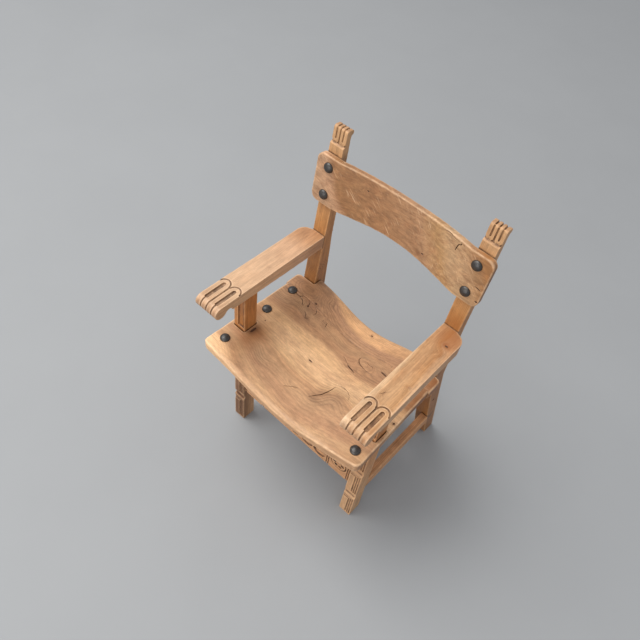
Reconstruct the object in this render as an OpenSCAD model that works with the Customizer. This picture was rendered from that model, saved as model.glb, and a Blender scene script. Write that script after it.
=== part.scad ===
// Rustic wooden armchair: straight front posts that carry the arms, raked back posts,
// a dished seat of two boards, a bowed back plank, and stretchers near the floor.
// The frame has X to the right, Y to the back and Z up, with the floor at Z = 0.

/* [Overall] */
// Height of the seat's flat side strips above the floor
seat_h = 425; // [390:1:470]
// Height of the arm tops above the floor
arm_h = 585; // [550:1:640]
// Height of the back posts above the floor
back_h = 869; // [850:1:980]
// Width over the outer faces of the front posts
front_w = 450; // [420:1:560]
// How far the back posts' outer faces lie inside those of the front posts
back_inset = 6; // [0:0.5:12]
// Distance from the front posts' front faces to the back posts' front faces, under the seat
post_pitch = 240; // [210:1:300]

/* [Front posts] */
// Width of a front post
post_w = 36; // [30:1:40]
// Depth of a front post
post_d = 41; // [36:1:50]
// Height of the middle of the lower neck in the post's front face
neck_low_z = 115; // [105:1:125]
// Height of the middle of the upper neck in the post's front face
neck_high_z = 247; // [235:1:262]
// Height of a neck at the face
neck_h = 20; // [12:1:28]
// Depth of a neck
neck_cut = 4; // [2:0.5:7]
// Width of the carved field in a post's face
panel_w = 20; // [14:1:24]
// Depth of the sunk field above the seat
panel_cut = 3; // [1:0.5:5]
// Plain border of that sunk field at the seat and at the arm
panel_border = 9; // [6:1:20]
// Plain strip to the right of the carved fields
panel_margin = 3; // [2:0.5:8]
// Width of the channels carved in a post's blocks
flute_w = 3.5; // [2:0.5:4]
// Depth of those channels
flute_cut = 3; // [2:0.5:4]
// How far the wood between the channels is sunk
field_cut = 1; // [0:0.5:1.5]
// Plain wood between a block's ends and its channels
flute_border = 7; // [4:1:14]

/* [Back posts] */
// Width of a back post
back_post_w = 39; // [34:1:44]
// Depth of a back post at the seat
back_post_d = 46; // [42:1:54]
// Depth of a back post at the arms
back_arm_d = 29; // [26:1:34]
// Depth of a back post at its top
back_top_d = 20; // [18:1:26]
// Depth of a back post at the floor
back_foot_d = 40; // [34:1:48]
// Backward lean above the seat, degrees
lean = 4.9; // [3:0.1:8]
// Backward rake below the seat, degrees
rake = 16.2; // [10:0.1:18]
// Height of the carved lobes at the top
top_carving_h = 42; // [38:1:52]
// How far the lobes are sunk below the post's face
top_carving_cut = 4; // [2:0.5:5]
// Radius of the scroll at the back of the top
top_scroll_r = 7; // [6:0.5:10]
// Radius of the front edge of the top
top_edge_r = 6; // [3:0.5:7]

/* [Arms] */
// Width of an arm at its carved end
arm_w = 66; // [58:1:74]
// How far an arm reaches inside the front post's inner face
arm_inset = 9; // [4:1:16]
// Thickness of an arm over the front post
arm_t_front = 30; // [28:1:36]
// Thickness of an arm at the back post
arm_t_back = 38; // [34:1:44]
// How far an arm reaches in front of the front posts
arm_reach = 95; // [88:1:120]
// Radius of the rolled nose
nose_r = 17; // [14:0.5:18]
// Radius of the hollow behind the nose
hollow_r = 10; // [8:0.5:12]
// Thickness left over the hollow
neck_t = 20; // [17:0.5:22]
// How much narrower an arm gets towards the back post
arm_waist = 2; // [0:1:10]
// Radius of that corner
arm_corner_r = 26; // [12:1:28]
// Distance from the front post's face to the rear ends of the carved lobes
lobe_start = 8; // [4:1:16]
// Width and depth of the groove round the lobes
groove = 3; // [2:0.5:4]
// Width of the slot in a lobe
slot_w = 9; // [6:0.5:11]
// Depth of that slot
slot_cut = 5; // [3:0.5:7]

/* [Seat] */
// Thickness of the seat boards
seat_t = 28; // [22:1:34]
// How far the seat's front stands out past the front posts' outer faces
seat_side_out = 14; // [10:1:30]
// How much each side of the seat draws in from its front edge to the joint between its boards
seat_taper = 8; // [0:1:10]
// How far the rear board's ends stand out past the front board's at that joint
rear_board_out = 4; // [0:1:8]
// How far the seat reaches in front of the front posts
seat_overhang = 94; // [80:1:96]
// Depth of the dish at the back edge
dish_back = 40; // [10:1:48]
// Depth of the dish at the front edge
dish_front = 20; // [5:1:36]
// Distance from the dish to the front posts' outer faces
dish_border = 42; // [38:1:60]
// Radius of the seat's round front and back edges
seat_edge_r = 16; // [8:1:20]
// Radius of the seat's left front corner
seat_corner_left = 10; // [4:1:20]
// Radius of the seat's right front corner
seat_corner_right = 18; // [4:1:20]
// How far the front edge falls back towards the seat's left corner
front_sweep_left = 7; // [0:1:20]
// How far the front edge falls back towards the seat's right corner
front_sweep_right = 20; // [0:1:24]
// Distance from a side of the seat to the start of that fall
front_sweep_w = 180; // [120:5:200]
// Radius of the seat's rear outer corners
seat_rear_r = 12; // [6:1:16]
// Distance from the back posts' faces to the joint between the two boards
joint_inset = 48; // [44:1:70]
// How far the tongue between the back posts reaches behind their faces
tongue = 28; // [16:1:34]
// Gap in the joint between the two boards
joint_gap = 0.5; // [0.2:0.1:2]
// Gap round a post where it passes the seat
post_gap = 0.5; // [0.3:0.1:2]

/* [Back plank] */
// Thickness of the plank
plank_t = 16; // [14:1:24]
// Height of the plank at its ends
plank_h = 126; // [116:1:140]
// How far the plank's ends stand out past the back posts' outer faces
plank_out = 14; // [0:1:20]
// Distance of the plank's upper edge below the tops of the back posts
plank_drop = 62; // [54:1:90]
// How far the middle of the plank bows back
plank_bow = 24; // [10:1:36]
// How far the middle of the lower edge is arched up
plank_arch = 8; // [2:1:20]
// How far the middle of the upper edge dips
plank_dip = 6; // [0:1:12]
// Radius of the plank's corners
plank_corner_r = 18; // [8:1:26]

/* [Rails and stretchers] */
// Thickness of a seat rail
rail_t = 24; // [22:1:28]
// Height of a seat rail
rail_h = 45; // [38:1:60]
// How far a seat rail's tongue reaches in front of the front post
horn = 68; // [60:1:76]
// Height of that tongue
horn_h = 25; // [20:1:30]
// Thickness of the tongue and of all tenons
tenon_t = 14; // [10:1:16]
// Thickness of the front stretcher
front_stretcher_t = 22; // [18:1:26]
// Height of the front stretcher
front_stretcher_h = 95; // [80:1:110]
// Height of its lower edge above the floor
front_stretcher_z = 155; // [140:1:200]
// How far its face lies behind the post faces
front_stretcher_inset = 3; // [1:0.5:8]
// Diameter of the rosettes carved near its ends
rosette_d = 52; // [40:1:56]
// Distance of a rosette's centre from the post beside it
rosette_inset = 38; // [34:1:46]
// Depth of the stretcher's carving
stretcher_cut = 3; // [1:0.5:4]
// Thickness of the side stretchers
side_stretcher_t = 22; // [18:1:26]
// Height of the side stretchers
side_stretcher_h = 43; // [36:1:60]
// Height of their lower edges above the floor
side_stretcher_z = 102; // [90:1:140]
// How far their outer faces lie inside the front posts' outer faces
side_stretcher_inset = 3; // [2:0.5:5]
// Thickness of the rear stretcher
rear_stretcher_t = 20; // [16:1:24]
// Height of the rear stretcher
rear_stretcher_h = 70; // [50:1:90]
// Height of its lower edge above the floor
rear_stretcher_z = 165; // [140:1:220]

/* [Joints and bolts] */
// Length of a tenon
tenon_l = 20; // [12:1:22]
// Clearance of a tenon in its mortise, on each side
tenon_gap = 0.2; // [0.1:0.05:0.5]
// Shoulder left above and below a tenon
tenon_shoulder = 7; // [5:1:9]
// Diameter of the bolt shanks
bolt_d = 8; // [6:1:10]
// Clearance of a bolt in its hole, on the diameter
bolt_gap = 0.4; // [0.2:0.1:1]
// Diameter of the domed bolt heads
head_d = 25; // [20:1:28]
// Height of the domed bolt heads
head_h = 8; // [5:0.5:11]
// Diameter of the washers
washer_d = 20; // [18:1:24]
// Thickness of the washers
washer_t = 2; // [1.5:0.5:3]
// Width of the square nuts
nut_w = 13; // [12:1:16]
// Height of the square nuts
nut_h = 6.5; // [5:0.5:8]
// How far a bolt's shank shows past its nut
nut_stick = 3; // [1:0.5:5]
// Distance from the front posts' faces forward to the front seat bolts
front_bolt = 46; // [40:1:52]
// Distance of the middle seat bolts behind the front posts' faces
middle_bolt = 90; // [70:1:120]
// How far the middle and rear seat bolts lie inside the line of the front ones
bolt_inset = 4; // [0:0.5:4]
// Distance of the rear seat bolts in front of the joint between the boards
rear_bolt = 10; // [8:1:14]
// Wood of a back post between the plank and a back washer
post_grip = 16; // [13:0.5:18]
// How much wider than its washer a spot face is
spot_room = 4; // [2:0.5:8]
// Height of the lower back bolts above the plank's lower edge
back_bolt_rise = 27; // [22:1:40]
// Distance between the back bolts of one post
back_bolt_pitch = 72; // [50:1:80]
// Diameter of the dowels between the seat boards
dowel_d = 10; // [8:1:12]
// Length of those dowels
dowel_l = 50; // [40:1:60]
// Distance between the dowels
dowel_pitch = 130; // [90:1:150]

/* [Hidden] */
$fn = 48;
eps = 1;                                  // how far a cutter passes a face
far = 300;                                // longer than any piece is wide or deep
wood = "#D29A62";
wood_end = "#B57A45";
iron = "#38332F";

seat_under = seat_h - seat_t;             // the seat's underside, where the back posts bend
back_w = front_w - 2 * back_inset;        // over the outer faces of the back posts
lobe_n = 2;                               // carved lobes side by side
arc_n = 10;                               // steps of a carved arc

// Back posts: the front face above the bend leans, the one below it rakes back.
lean_run = tan(lean);
rake_run = tan(rake);
function lean_y(z) = post_pitch + (z - seat_under) * lean_run;
function rake_y(z) = post_pitch + (seat_under - z) * rake_run;
foot_front = rake_y(0);
foot_back = foot_front + back_foot_d;
front_reach = max(arm_reach, seat_overhang);
mid_y = (foot_back - front_reach) / 2;    // the frame's origin lies under the middle of the chair

// Arms
arm_in = front_w / 2 - post_w - arm_inset;
arm_out = arm_in + arm_w;
arm_under_front = arm_h - arm_t_front;
arm_under_back = arm_h - arm_t_back;
nose_y = nose_r - arm_reach;
nose_z = arm_h - nose_r;
hollow_z = arm_h - neck_t - hollow_r;
hollow_y = nose_y + sqrt(pow(nose_r + hollow_r, 2) - pow(nose_z - hollow_z, 2));
meet = atan2(hollow_z - nose_z, hollow_y - nose_y);
lobe_r = arm_w / lobe_n / 2;
post_tenon_h = arm_t_front - 2 * tenon_shoulder + 4;
arm_tenon_l = tenon_l - 4;                // the back post is thin where the arm meets it
arm_tenon_in = 4;                         // how far that tenon lies inside the post's middle

// Back post tops, in the leaning frame: s up along the post, t back from its front face
top_t = top_carving_cut + top_edge_r;     // the highest point lies over the front edge's middle
top_s = top_edge_r + (back_h - seat_under - top_edge_r + top_t * sin(lean)) / cos(lean);
function post_point(t, s) = [post_pitch + t * cos(lean) + s * sin(lean),
                             seat_under - t * sin(lean) + s * cos(lean)];
carving_s = top_s - top_carving_h;
back_lobe_r = back_post_w / lobe_n / 2;

// Seat
seat_front_w = front_w + 2 * seat_side_out;
seat_back_w = seat_front_w - 2 * seat_taper;
rear_board_w = seat_back_w + 2 * rear_board_out;
dish_w = front_w - 2 * dish_border;
joint_y = post_pitch - joint_inset;
tongue_y = post_pitch + tongue;
dish_run = tongue_y + seat_overhang;
function dish(x, y) = (dish_front + (dish_back - dish_front) * (y + seat_overhang) / dish_run)
                      * (abs(x) < dish_w / 2 ? (1 + cos(abs(x) / (dish_w / 2) * 180)) / 2 : 0);
function seat_half(y) = seat_front_w / 2
                        + (seat_back_w - seat_front_w) / 2 * (y + seat_overhang) / (joint_y + seat_overhang);
front_n = 10;                             // steps from the front edge to where its corners end
front_run = max(front_sweep_left + seat_corner_left, front_sweep_right + seat_corner_right);
seat_n = 28;                              // steps across the dish

// Back plank
plank_w = back_w + 2 * plank_out;
plank_z = back_h - plank_drop - plank_h;
bolt_x = front_w / 2 - post_w / 2;
back_bolt_x = back_w / 2 - back_post_w / 2 - 2;

// Rails and stretchers
stretcher_x = front_w / 2 - side_stretcher_inset - side_stretcher_t;
front_bolt_y = -front_bolt;
rear_bolt_y = joint_y - rear_bolt;
inner_bolt_x = bolt_x - bolt_inset;
seat_bolts_at = [[bolt_x, front_bolt_y], [inner_bolt_x, middle_bolt], [inner_bolt_x, rear_bolt_y]];
rail_x = inner_bolt_x - rail_t / 2;
rail_under = seat_under - rail_h;

// Places the pieces, which are drawn with Y = 0 at the front posts' faces, over the origin.
module placed() { translate([0, -mid_y, 0]) children(); }

// Draws a piece on the left side from one that is drawn on the right.
module on_side(side) { if (side < 0) mirror([1, 0, 0]) children(); else children(); }

// Extrudes an outline drawn in Y and Z along X, from x0 to x1.
module across(x0, x1) {
    translate([x0, 0, 0]) rotate([90, 0, 90]) linear_extrude(x1 - x0) children();
}

function arc(centre, r, a0, a1, n = arc_n) =
    [for (i = [0:n]) let (a = a0 + (a1 - a0) * i / n) centre + r * [cos(a), sin(a)]];

// A square-cut slot or tenon from its corner and size, grown by g on every side of its section.
module peg_x(corner, size, g = 0) {
    translate(corner - [0, g, g]) cube(size + [0, 2 * g, 2 * g]);
}
module peg_y(corner, size, g = 0) {
    translate(corner - [g, 0, g]) cube(size + [2 * g, 0, 2 * g]);
}
module peg_z(corner, size, g = 0) {
    translate(corner - [g, g, 0]) cube(size + [2 * g, 2 * g, 0]);
}

// Tenons, drawn once and used again for their mortises.
module post_tenon(g = 0) {
    peg_z([front_w / 2 - post_w + tenon_shoulder, tenon_shoulder, arm_under_front - eps],
          [post_w - 2 * tenon_shoulder, post_d - 2 * tenon_shoulder, post_tenon_h + eps + g], g);
}
module arm_tenon(g = 0) {
    x = back_w / 2 - back_post_w / 2 - tenon_t / 2 - arm_tenon_in;
    peg_y([x, lean_y(arm_h) - tenon_l, arm_under_back + tenon_shoulder],
          [tenon_t, tenon_l + arm_tenon_l + g, arm_t_back - 2 * tenon_shoulder], g);
}
module rail_tongue(g = 0) {
    peg_y([bolt_x - tenon_t / 2, -horn, seat_under - horn_h - tenon_gap],
          [tenon_t, horn + post_d + eps, horn_h], g);
}
module rail_tenon(g = 0) {
    peg_y([bolt_x - tenon_t / 2, post_pitch - eps, rail_under + tenon_shoulder],
          [tenon_t, tenon_l + rail_h * rake_run + g, rail_h - 3 * tenon_shoulder], g);
}
module side_stretcher_tenons(g = 0) {
    x = stretcher_x + (side_stretcher_t - tenon_t) / 2;
    z = side_stretcher_z + tenon_shoulder;
    h = side_stretcher_h - 2 * tenon_shoulder;
    peg_y([x, post_d - tenon_l - g, z], [tenon_t, tenon_l + eps + g, h], g);
    peg_y([x, rake_y(z + h) - eps, z], [tenon_t, tenon_l + (h * rake_run) + eps + g, h], g);
}
module front_stretcher_tenons(g = 0) {
    for (s = [-1, 1])
        on_side(s)
            peg_x([front_w / 2 - post_w - eps, front_stretcher_inset + (front_stretcher_t - tenon_t) / 2,
                   front_stretcher_z + tenon_shoulder],
                  [tenon_l + eps + g, tenon_t, front_stretcher_h - 2 * tenon_shoulder], g);
}
module rear_stretcher_place() {
    z = rear_stretcher_z;
    translate([0, rake_y(z) + (back_foot_d - rear_stretcher_t) / 2, z]) rotate([rake, 0, 0]) children();
}
module rear_stretcher_tenons(g = 0) {
    for (s = [-1, 1])
        on_side(s)
            rear_stretcher_place()
                peg_x([back_w / 2 - back_post_w - eps, (rear_stretcher_t - tenon_t) / 2, tenon_shoulder],
                      [tenon_l + eps + g, tenon_t, rear_stretcher_h - 2 * tenon_shoulder], g);
}

// Front posts: leg and arm support in one, necked between the carved blocks. The carving isn't
// mirrored: on both posts it lies on the right of the face.
blocks = [[0, neck_low_z - neck_h / 2], [neck_low_z + neck_h / 2, neck_high_z - neck_h / 2],
          [neck_high_z + neck_h / 2, seat_under - horn_h]];
module front_post(side) {
    left = side < 0 ? -front_w / 2 : front_w / 2 - post_w;
    color(wood) placed() difference() {
        on_side(side) front_post_solid();
        translate([left + post_w - panel_margin - panel_w, 0, 0]) {
            translate([0, -eps, seat_h + panel_border])
                cube([panel_w, panel_cut + eps, arm_under_front - seat_h - 2 * panel_border]);
            for (b = blocks) block_flutes(b[0] + flute_border, b[1] - flute_border);
        }
    }
}
module front_post_solid() {
    difference() {
        union() {
            translate([front_w / 2 - post_w, 0, 0]) cube([post_w, post_d, arm_under_front]);
            post_tenon();
        }
        for (z = [neck_low_z, neck_high_z])
            across(front_w / 2 - post_w - eps, front_w / 2 + eps)
                polygon([[-eps, z - neck_h / 2], [0, z - neck_h / 2], [neck_cut, z - neck_h / 4],
                         [neck_cut, z + neck_h / 4], [0, z + neck_h / 2], [-eps, z + neck_h / 2]]);
        rail_tongue(tenon_gap);
        side_stretcher_tenons(tenon_gap);
        front_stretcher_tenons(tenon_gap);
    }
}

// Channels carved in one block, from z0 to z1, in a slightly sunk field: each rises near the right
// edge and turns to the left along the block's top, one inside the other.
flute_n = 3;
module block_flutes(z0, z1) {
    pitch = (panel_w + flute_w) / (flute_n + 1);
    field = flute_w + (flute_n - 1) * pitch;
    translate([panel_w - field, -eps, z0]) cube([field, field_cut + eps, z1 - z0]);
    translate([-post_w, -eps, z1 - field]) cube([post_w + panel_w, field_cut + eps, field]);
    for (i = [0:flute_n - 1]) {
        x = panel_w - flute_w - i * pitch;
        z = z1 - flute_w - i * pitch;
        translate([x, -eps, z0]) cube([flute_w, flute_cut + eps, z + flute_w - z0]);
        translate([x - post_w, -eps, z]) cube([post_w + flute_w, flute_cut + eps, flute_w]);
    }
}
module front_post_left() { front_post(-1); }
module front_post_right() { front_post(1); }

// Outline of a back post from the side: raked foot, leaning shaft and a top that rolls back.
function back_post_outline(cut) =
    let (scroll_t = back_top_d,
         scroll = [scroll_t, top_s - top_scroll_r],
         corner = [cut + top_edge_r, top_s - top_edge_r],
         top = concat([[0, 0], [0, carving_s], [cut, carving_s + cut]],
                      arc(corner, top_edge_r, 180, 90),
                      arc(scroll, top_scroll_r, 90, -80),
                      [[scroll_t, top_s - 3 * top_scroll_r],
                       [back_arm_d, (arm_h - seat_under) / cos(lean)], [back_post_d, 0]]))
    concat([[foot_back, 0], [foot_front, 0]], [for (p = top) post_point(p[0], p[1])]);

module back_post(side) {
    inner = back_w / 2 - back_post_w;
    color(wood) placed() on_side(side) difference() {
        across(inner, inner + back_post_w) polygon(back_post_outline(top_carving_cut));
        back_carving_cuts(inner);
        arm_tenon(tenon_gap);
        rail_tenon(tenon_gap);
        side_stretcher_tenons(tenon_gap);
        rear_stretcher_tenons(tenon_gap);
        back_bolt_places() {
            cylinder(d = bolt_d + bolt_gap, h = far, center = true);
            translate([0, 0, -back_hold - far]) cylinder(d = washer_d + spot_room, h = far);
        }
    }
}
module back_post_left() { back_post(-1); }
module back_post_right() { back_post(1); }

// Grooves that part a post's top into two lobes with round lower ends, each with a slot, and run
// over the scroll.
module back_carving_cuts(inner) {
    ring = top_scroll_r - groove;
    lobes_s = carving_s + top_carving_cut;
    lobe_merge = 0.5;                     // how far the lobes run into one another and the post
    translate([inner, post_pitch, seat_under]) rotate([-lean, 0, 0])
        translate([0, top_carving_cut - eps, lobes_s]) difference() {
            translate([-eps, 0, 0]) cube([back_post_w + 2 * eps, groove + eps, back_lobe_r]);
            for (i = [1, 3])
                translate([i * back_post_w / 4, -eps, back_lobe_r])
                    rotate([-90, 0, 0]) cylinder(r = back_lobe_r + lobe_merge, h = groove + 4 * eps);
        }
    for (i = [1:3])
        translate([inner + i * back_post_w / 4, post_pitch, seat_under]) rotate([-lean, 0, 0]) {
            translate([-groove / 2, top_carving_cut - eps, lobes_s + (i == 2 ? 0 : 0.8 * back_lobe_r)])
                cube([groove, groove + eps, far]);
            translate([-groove / 2, 0, top_s - groove]) cube([groove, back_top_d, groove + eps]);
            translate([-groove / 2, back_top_d, top_s - top_scroll_r]) rotate([0, 90, 0])
                difference() {
                    cylinder(r = top_scroll_r + eps, h = groove);
                    translate([0, 0, -eps]) cylinder(r = ring, h = groove + 2 * eps);
                    translate([0, -far, -eps]) cube([far, far, groove + 2 * eps]);
                }
        }
}

// Outline of an arm from the side, drawn in by d from its real surface at the nose.
arm_outline = concat(
    [[lean_y(arm_h), arm_h]],
    arc([nose_y, nose_z], nose_r, 90, 360 + meet, 3 * arc_n),
    arc([hollow_y, hollow_z], hollow_r, 180 + meet, asin((arm_under_front - hollow_z) / hollow_r), arc_n),
    [[lean_y(arm_under_back), arm_under_back]]);

// Outline of an arm from above: straight inside, drawn in behind the lobes outside, with a
// round rear corner.
waist_turn = 112;                         // part of a sine wave, in degrees, that the outside follows
arm_plan_n = 8;
function arm_edge(u) = arm_out - arm_waist * sin(waist_turn * u);
arm_plan = let (y0 = -lobe_start, y1 = lean_y(arm_under_back), run = y1 - arm_corner_r - y0)
    concat([[arm_in, y1 + far], [arm_in, -arm_reach - eps], [arm_out, -arm_reach - eps]],
           [for (i = [0:arm_plan_n]) [arm_edge(i / arm_plan_n), y0 + run * i / arm_plan_n]],
           arc([arm_edge(1) - arm_corner_r, y0 + run], arm_corner_r, 0, 66),
           [[back_w / 2, y1 + eps], [back_w / 2, y1 + far]]);

module arm(side) {
    color(wood) placed() on_side(side) difference() {
        union() {
            intersection() {
                across(arm_in - eps, arm_out + far) polygon(arm_outline);
                linear_extrude(arm_h + eps) polygon(arm_plan);
            }
            arm_tenon();
        }
        post_tenon(tenon_gap);
        post_socket();
        arm_carving_cuts();
    }
}
// The arm's underside slopes down to the back, so the front post's end is let into it.
module post_socket() {
    peg_z([front_w / 2 - post_w, 0, arm_under_back - eps],
          [post_w, post_d, arm_under_front - arm_under_back + eps], tenon_gap);
}
module arm_left() { arm(-1); }
module arm_right() { arm(1); }

// The two lobes at an arm's front: a groove round their rear ends, a groove between them,
// a slot in each, and grooves that run round the nose.
module arm_carving_cuts() {
    lobe_y = -lobe_start - lobe_r;
    top_z = arm_h - groove;
    for (i = [0:lobe_n - 1]) {
        x = arm_in + (2 * i + 1) * lobe_r;
        translate([x, lobe_y, top_z]) difference() {
            cylinder(r = lobe_r, h = far);
            translate([0, 0, -eps]) cylinder(r = lobe_r - groove, h = far);
            translate([-far / 2, -far, -eps]) cube([far, far, far]);
        }
        translate([x, lobe_y, arm_h - slot_cut]) cylinder(d = slot_w, h = far);
        translate([x - slot_w / 2, nose_y, arm_h - slot_cut]) cube([slot_w, lobe_y - nose_y, far]);
        nose_groove(x);
    }
    translate([arm_in + arm_w / 2 - groove / 2, nose_y, top_z]) cube([groove, lobe_y - nose_y, far]);
    nose_groove(arm_in + arm_w / 2);
}
module nose_groove(x) {
    across(x - groove / 2, x + groove / 2) translate([nose_y, nose_z]) difference() {
        circle(r = nose_r + eps);
        circle(r = nose_r - groove);
        translate([0, -far / 2]) square([far, far]);
    }
}

// Seat boards, lofted through stations along Y. A station has a place, the thickness there as a
// share of seat_t, and how far its left and right ends are drawn in, so that edges and corners
// come out round.
edge_share = 0.4;                         // the boards' thickness at a round edge
function back_stations(y_edge, r, n = 4) =
    [for (i = [0:n]) let (a = 90 * i / n, ends = r * (1 - cos(a)))
     [y_edge - r * (1 - sin(a)), edge_share + (1 - edge_share) * cos(a), ends, ends]];

// Stations at the front, where the edge falls back to each corner along a parabola that ends in
// the corner's arc. t is the distance from the foremost line, b how far a corner of radius r
// falls back.
function corner_inset(t, b, r) =
    let (t1 = b * pow(1 - r / front_sweep_w, 2))
    t < t1 ? front_sweep_w * (1 - sqrt(t / b)) : t < t1 + r ? r - sqrt(r * r - pow(t1 + r - t, 2)) : 0;
front_stations =
    [for (i = [0:front_n]) let (t = front_run * pow(i / front_n, 2), u = min(1, t / seat_edge_r))
     [t - seat_overhang, edge_share + (1 - edge_share) * sqrt(u * (2 - u)),
      corner_inset(t, front_sweep_left, seat_corner_left),
      corner_inset(t, front_sweep_right, seat_corner_right)]];

function station_ring(s, half) =
    let (x0 = s[2] - half, x1 = half - s[3],
         top = [for (i = [0:seat_n]) let (x = x0 + (x1 - x0) * i / seat_n, d = dish(x, s[0]))
                [x, s[0], seat_h - d - seat_t * (1 - s[1]) / 2]],
         under = [for (i = [seat_n:-1:0]) let (p = top[i]) [p[0], p[1], p[2] - seat_t * s[1]]])
    concat(top, under);
module seat_loft(stations, halves) {
    n = 2 * (seat_n + 1);
    last = len(stations) - 1;
    points = [for (i = [0:last]) each station_ring(stations[i], halves[i])];
    sides = [for (i = [0:last - 1], j = [0:n - 1]) let (k = (j + 1) % n, a = i * n, b = a + n)
             each [[a + j, b + k, a + k], [a + j, b + j, b + k]]];
    caps = [for (j = [0:seat_n - 1]) let (b = last * n)
            each [[j, j + 1, n - 1 - j], [j + 1, n - 2 - j, n - 1 - j],
                  [b + j, b + n - 1 - j, b + j + 1], [b + j + 1, b + n - 1 - j, b + n - 2 - j]]];
    polyhedron(points, concat(sides, caps));
}

module seat_bolt_holes() {
    for (s = [-1, 1], b = seat_bolts_at)
        translate([s * b[0], b[1], seat_under - eps]) cylinder(d = bolt_d + bolt_gap, h = seat_t + 2 * eps);
}

module seat_front_board() {
    stations = concat(front_stations, [for (y = [-20, 30, 80, 130, joint_y - joint_gap / 2]) [y, 1, 0, 0]]);
    halves = [for (s = stations) seat_half(s[0])];
    color(wood) placed() difference() {
        seat_loft(stations, halves);
        for (s = [-1, 1])
            on_side(s)
                peg_z([front_w / 2 - post_w, 0, seat_under - eps],
                      [post_w, post_d, seat_t + 2 * eps], post_gap);
        seat_bolt_holes();
        dowel_places() cylinder(d = dowel_d, h = dowel_l, center = true);
    }
}

module seat_rear_board() {
    stations = concat([for (y = [joint_gap, joint_inset]) [joint_y + y / 2, 1, 0, 0]],
                      back_stations(tongue_y, seat_edge_r));
    halves = [for (s = stations) rear_board_w / 2];
    corner_x = rear_board_w / 2 - seat_rear_r;
    notch_x = back_w / 2 - back_post_w - post_gap;
    notch_y = post_pitch - post_gap;
    color(wood_end) placed() difference() {
        seat_loft(stations, halves);
        for (s = [-1, 1])
            on_side(s) {
                translate([notch_x, notch_y, seat_under - eps]) cube([far, far, seat_t + 2 * eps]);
                translate([corner_x, notch_y - seat_rear_r, seat_under - eps]) difference() {
                    cube([far, far, seat_t + 2 * eps]);
                    translate([0, 0, -eps]) cylinder(r = seat_rear_r, h = seat_t + 4 * eps);
                }
            }
        dowel_places() cylinder(d = dowel_d, h = dowel_l, center = true);
    }
}

// Dowels that hold the two seat boards in line, level with the middle of their thickness.
module dowel_places() {
    for (i = [-1:1])
        translate([i * dowel_pitch, joint_y, seat_h - dish(i * dowel_pitch, joint_y) - seat_t / 2])
            rotate([90, 0, 0]) children();
}
module seat_dowels() {
    color(wood_end) placed() dowel_places() cylinder(d = dowel_d - tenon_gap, h = dowel_l - 1, center = true);
}

// Back plank: a bowed band, cut to its outline, leaning with the posts.
plank_steps = 24;
plank_flat = 6;                           // how far the flat ends reach past the posts' inner faces
flat_end = back_w / 2 - back_post_w - plank_flat;
function bow(x) = plank_bow * (abs(x) < flat_end ? pow(1 - pow(x / flat_end, 2), 1.2) : 0);
bow_xs = [for (i = [0:plank_steps]) flat_end * (2 * i / plank_steps - 1)];
plank_band = concat([[-plank_w / 2, -plank_t]], [for (x = bow_xs) [x, bow(x) - plank_t]],
                    [[plank_w / 2, -plank_t], [plank_w / 2, 0]],
                    [for (i = [plank_steps:-1:0]) [bow_xs[i], bow(bow_xs[i])]], [[-plank_w / 2, 0]]);
function swell(x) = (1 + cos(abs(x) / flat_end * 180)) / 2;
module plank_outline() {
    r = plank_corner_r;
    w = plank_w / 2;
    polygon(concat(arc([w - r, r], r, -90, 0), arc([w - r, plank_h - r], r, 0, 90),
                   [for (i = [plank_steps:-1:0]) [bow_xs[i], plank_h - plank_dip * swell(bow_xs[i])]],
                   arc([r - w, plank_h - r], r, 90, 180), arc([r - w, r], r, 180, 270),
                   [for (x = bow_xs) [x, plank_arch * swell(x)]]));
}
module plank_place() {
    translate([0, lean_y(plank_z), plank_z]) rotate([-lean, 0, 0]) children();
}
module back_bolt_places() {
    for (s = [-1, 1], i = [0, 1])
        plank_place() translate([s * back_bolt_x, -plank_t, back_bolt_rise + i * back_bolt_pitch])
            rotate([90, 0, 0]) children();
}
module back_plank() {
    color(wood) placed() difference() {
        plank_place() intersection() {
            linear_extrude(plank_h) polygon(plank_band);
            rotate([90, 0, 0]) linear_extrude(far, center = true) plank_outline();
        }
        back_bolt_places() cylinder(d = bolt_d + bolt_gap, h = far, center = true);
    }
}

// Seat rails run between the posts and pass through the front posts to carry the seat's overhang.
module seat_rail(side) {
    color(wood_end) placed() on_side(side) difference() {
        union() {
            across(rail_x, rail_x + rail_t)
                polygon([[post_d, rail_under], [rake_y(rail_under), rail_under],
                         [rake_y(seat_under), seat_under], [post_d, seat_under]]);
            rail_tongue();
            intersection() {
                rail_tenon();
                across(rail_x, rail_x + rail_t)
                    polygon([[0, 0], [rake_y(0) + tenon_l, 0],
                             [rake_y(seat_h) + tenon_l, seat_h], [0, seat_h]]);
            }
        }
        for (b = seat_bolts_at)
            translate([b[0], b[1], rail_under - eps]) cylinder(d = bolt_d + bolt_gap, h = rail_h + 2 * eps);
    }
}
module seat_rail_left() { seat_rail(-1); }
module seat_rail_right() { seat_rail(1); }

module front_stretcher() {
    w = front_w / 2 - post_w;
    color(wood) placed() {
        difference() {
            translate([-w, front_stretcher_inset, front_stretcher_z])
                cube([2 * w, front_stretcher_t, front_stretcher_h]);
            translate([0, front_stretcher_inset, front_stretcher_z + front_stretcher_h / 2])
                rotate([90, 0, 0]) stretcher_carving(w);
        }
        front_stretcher_tenons();
    }
}

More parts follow.
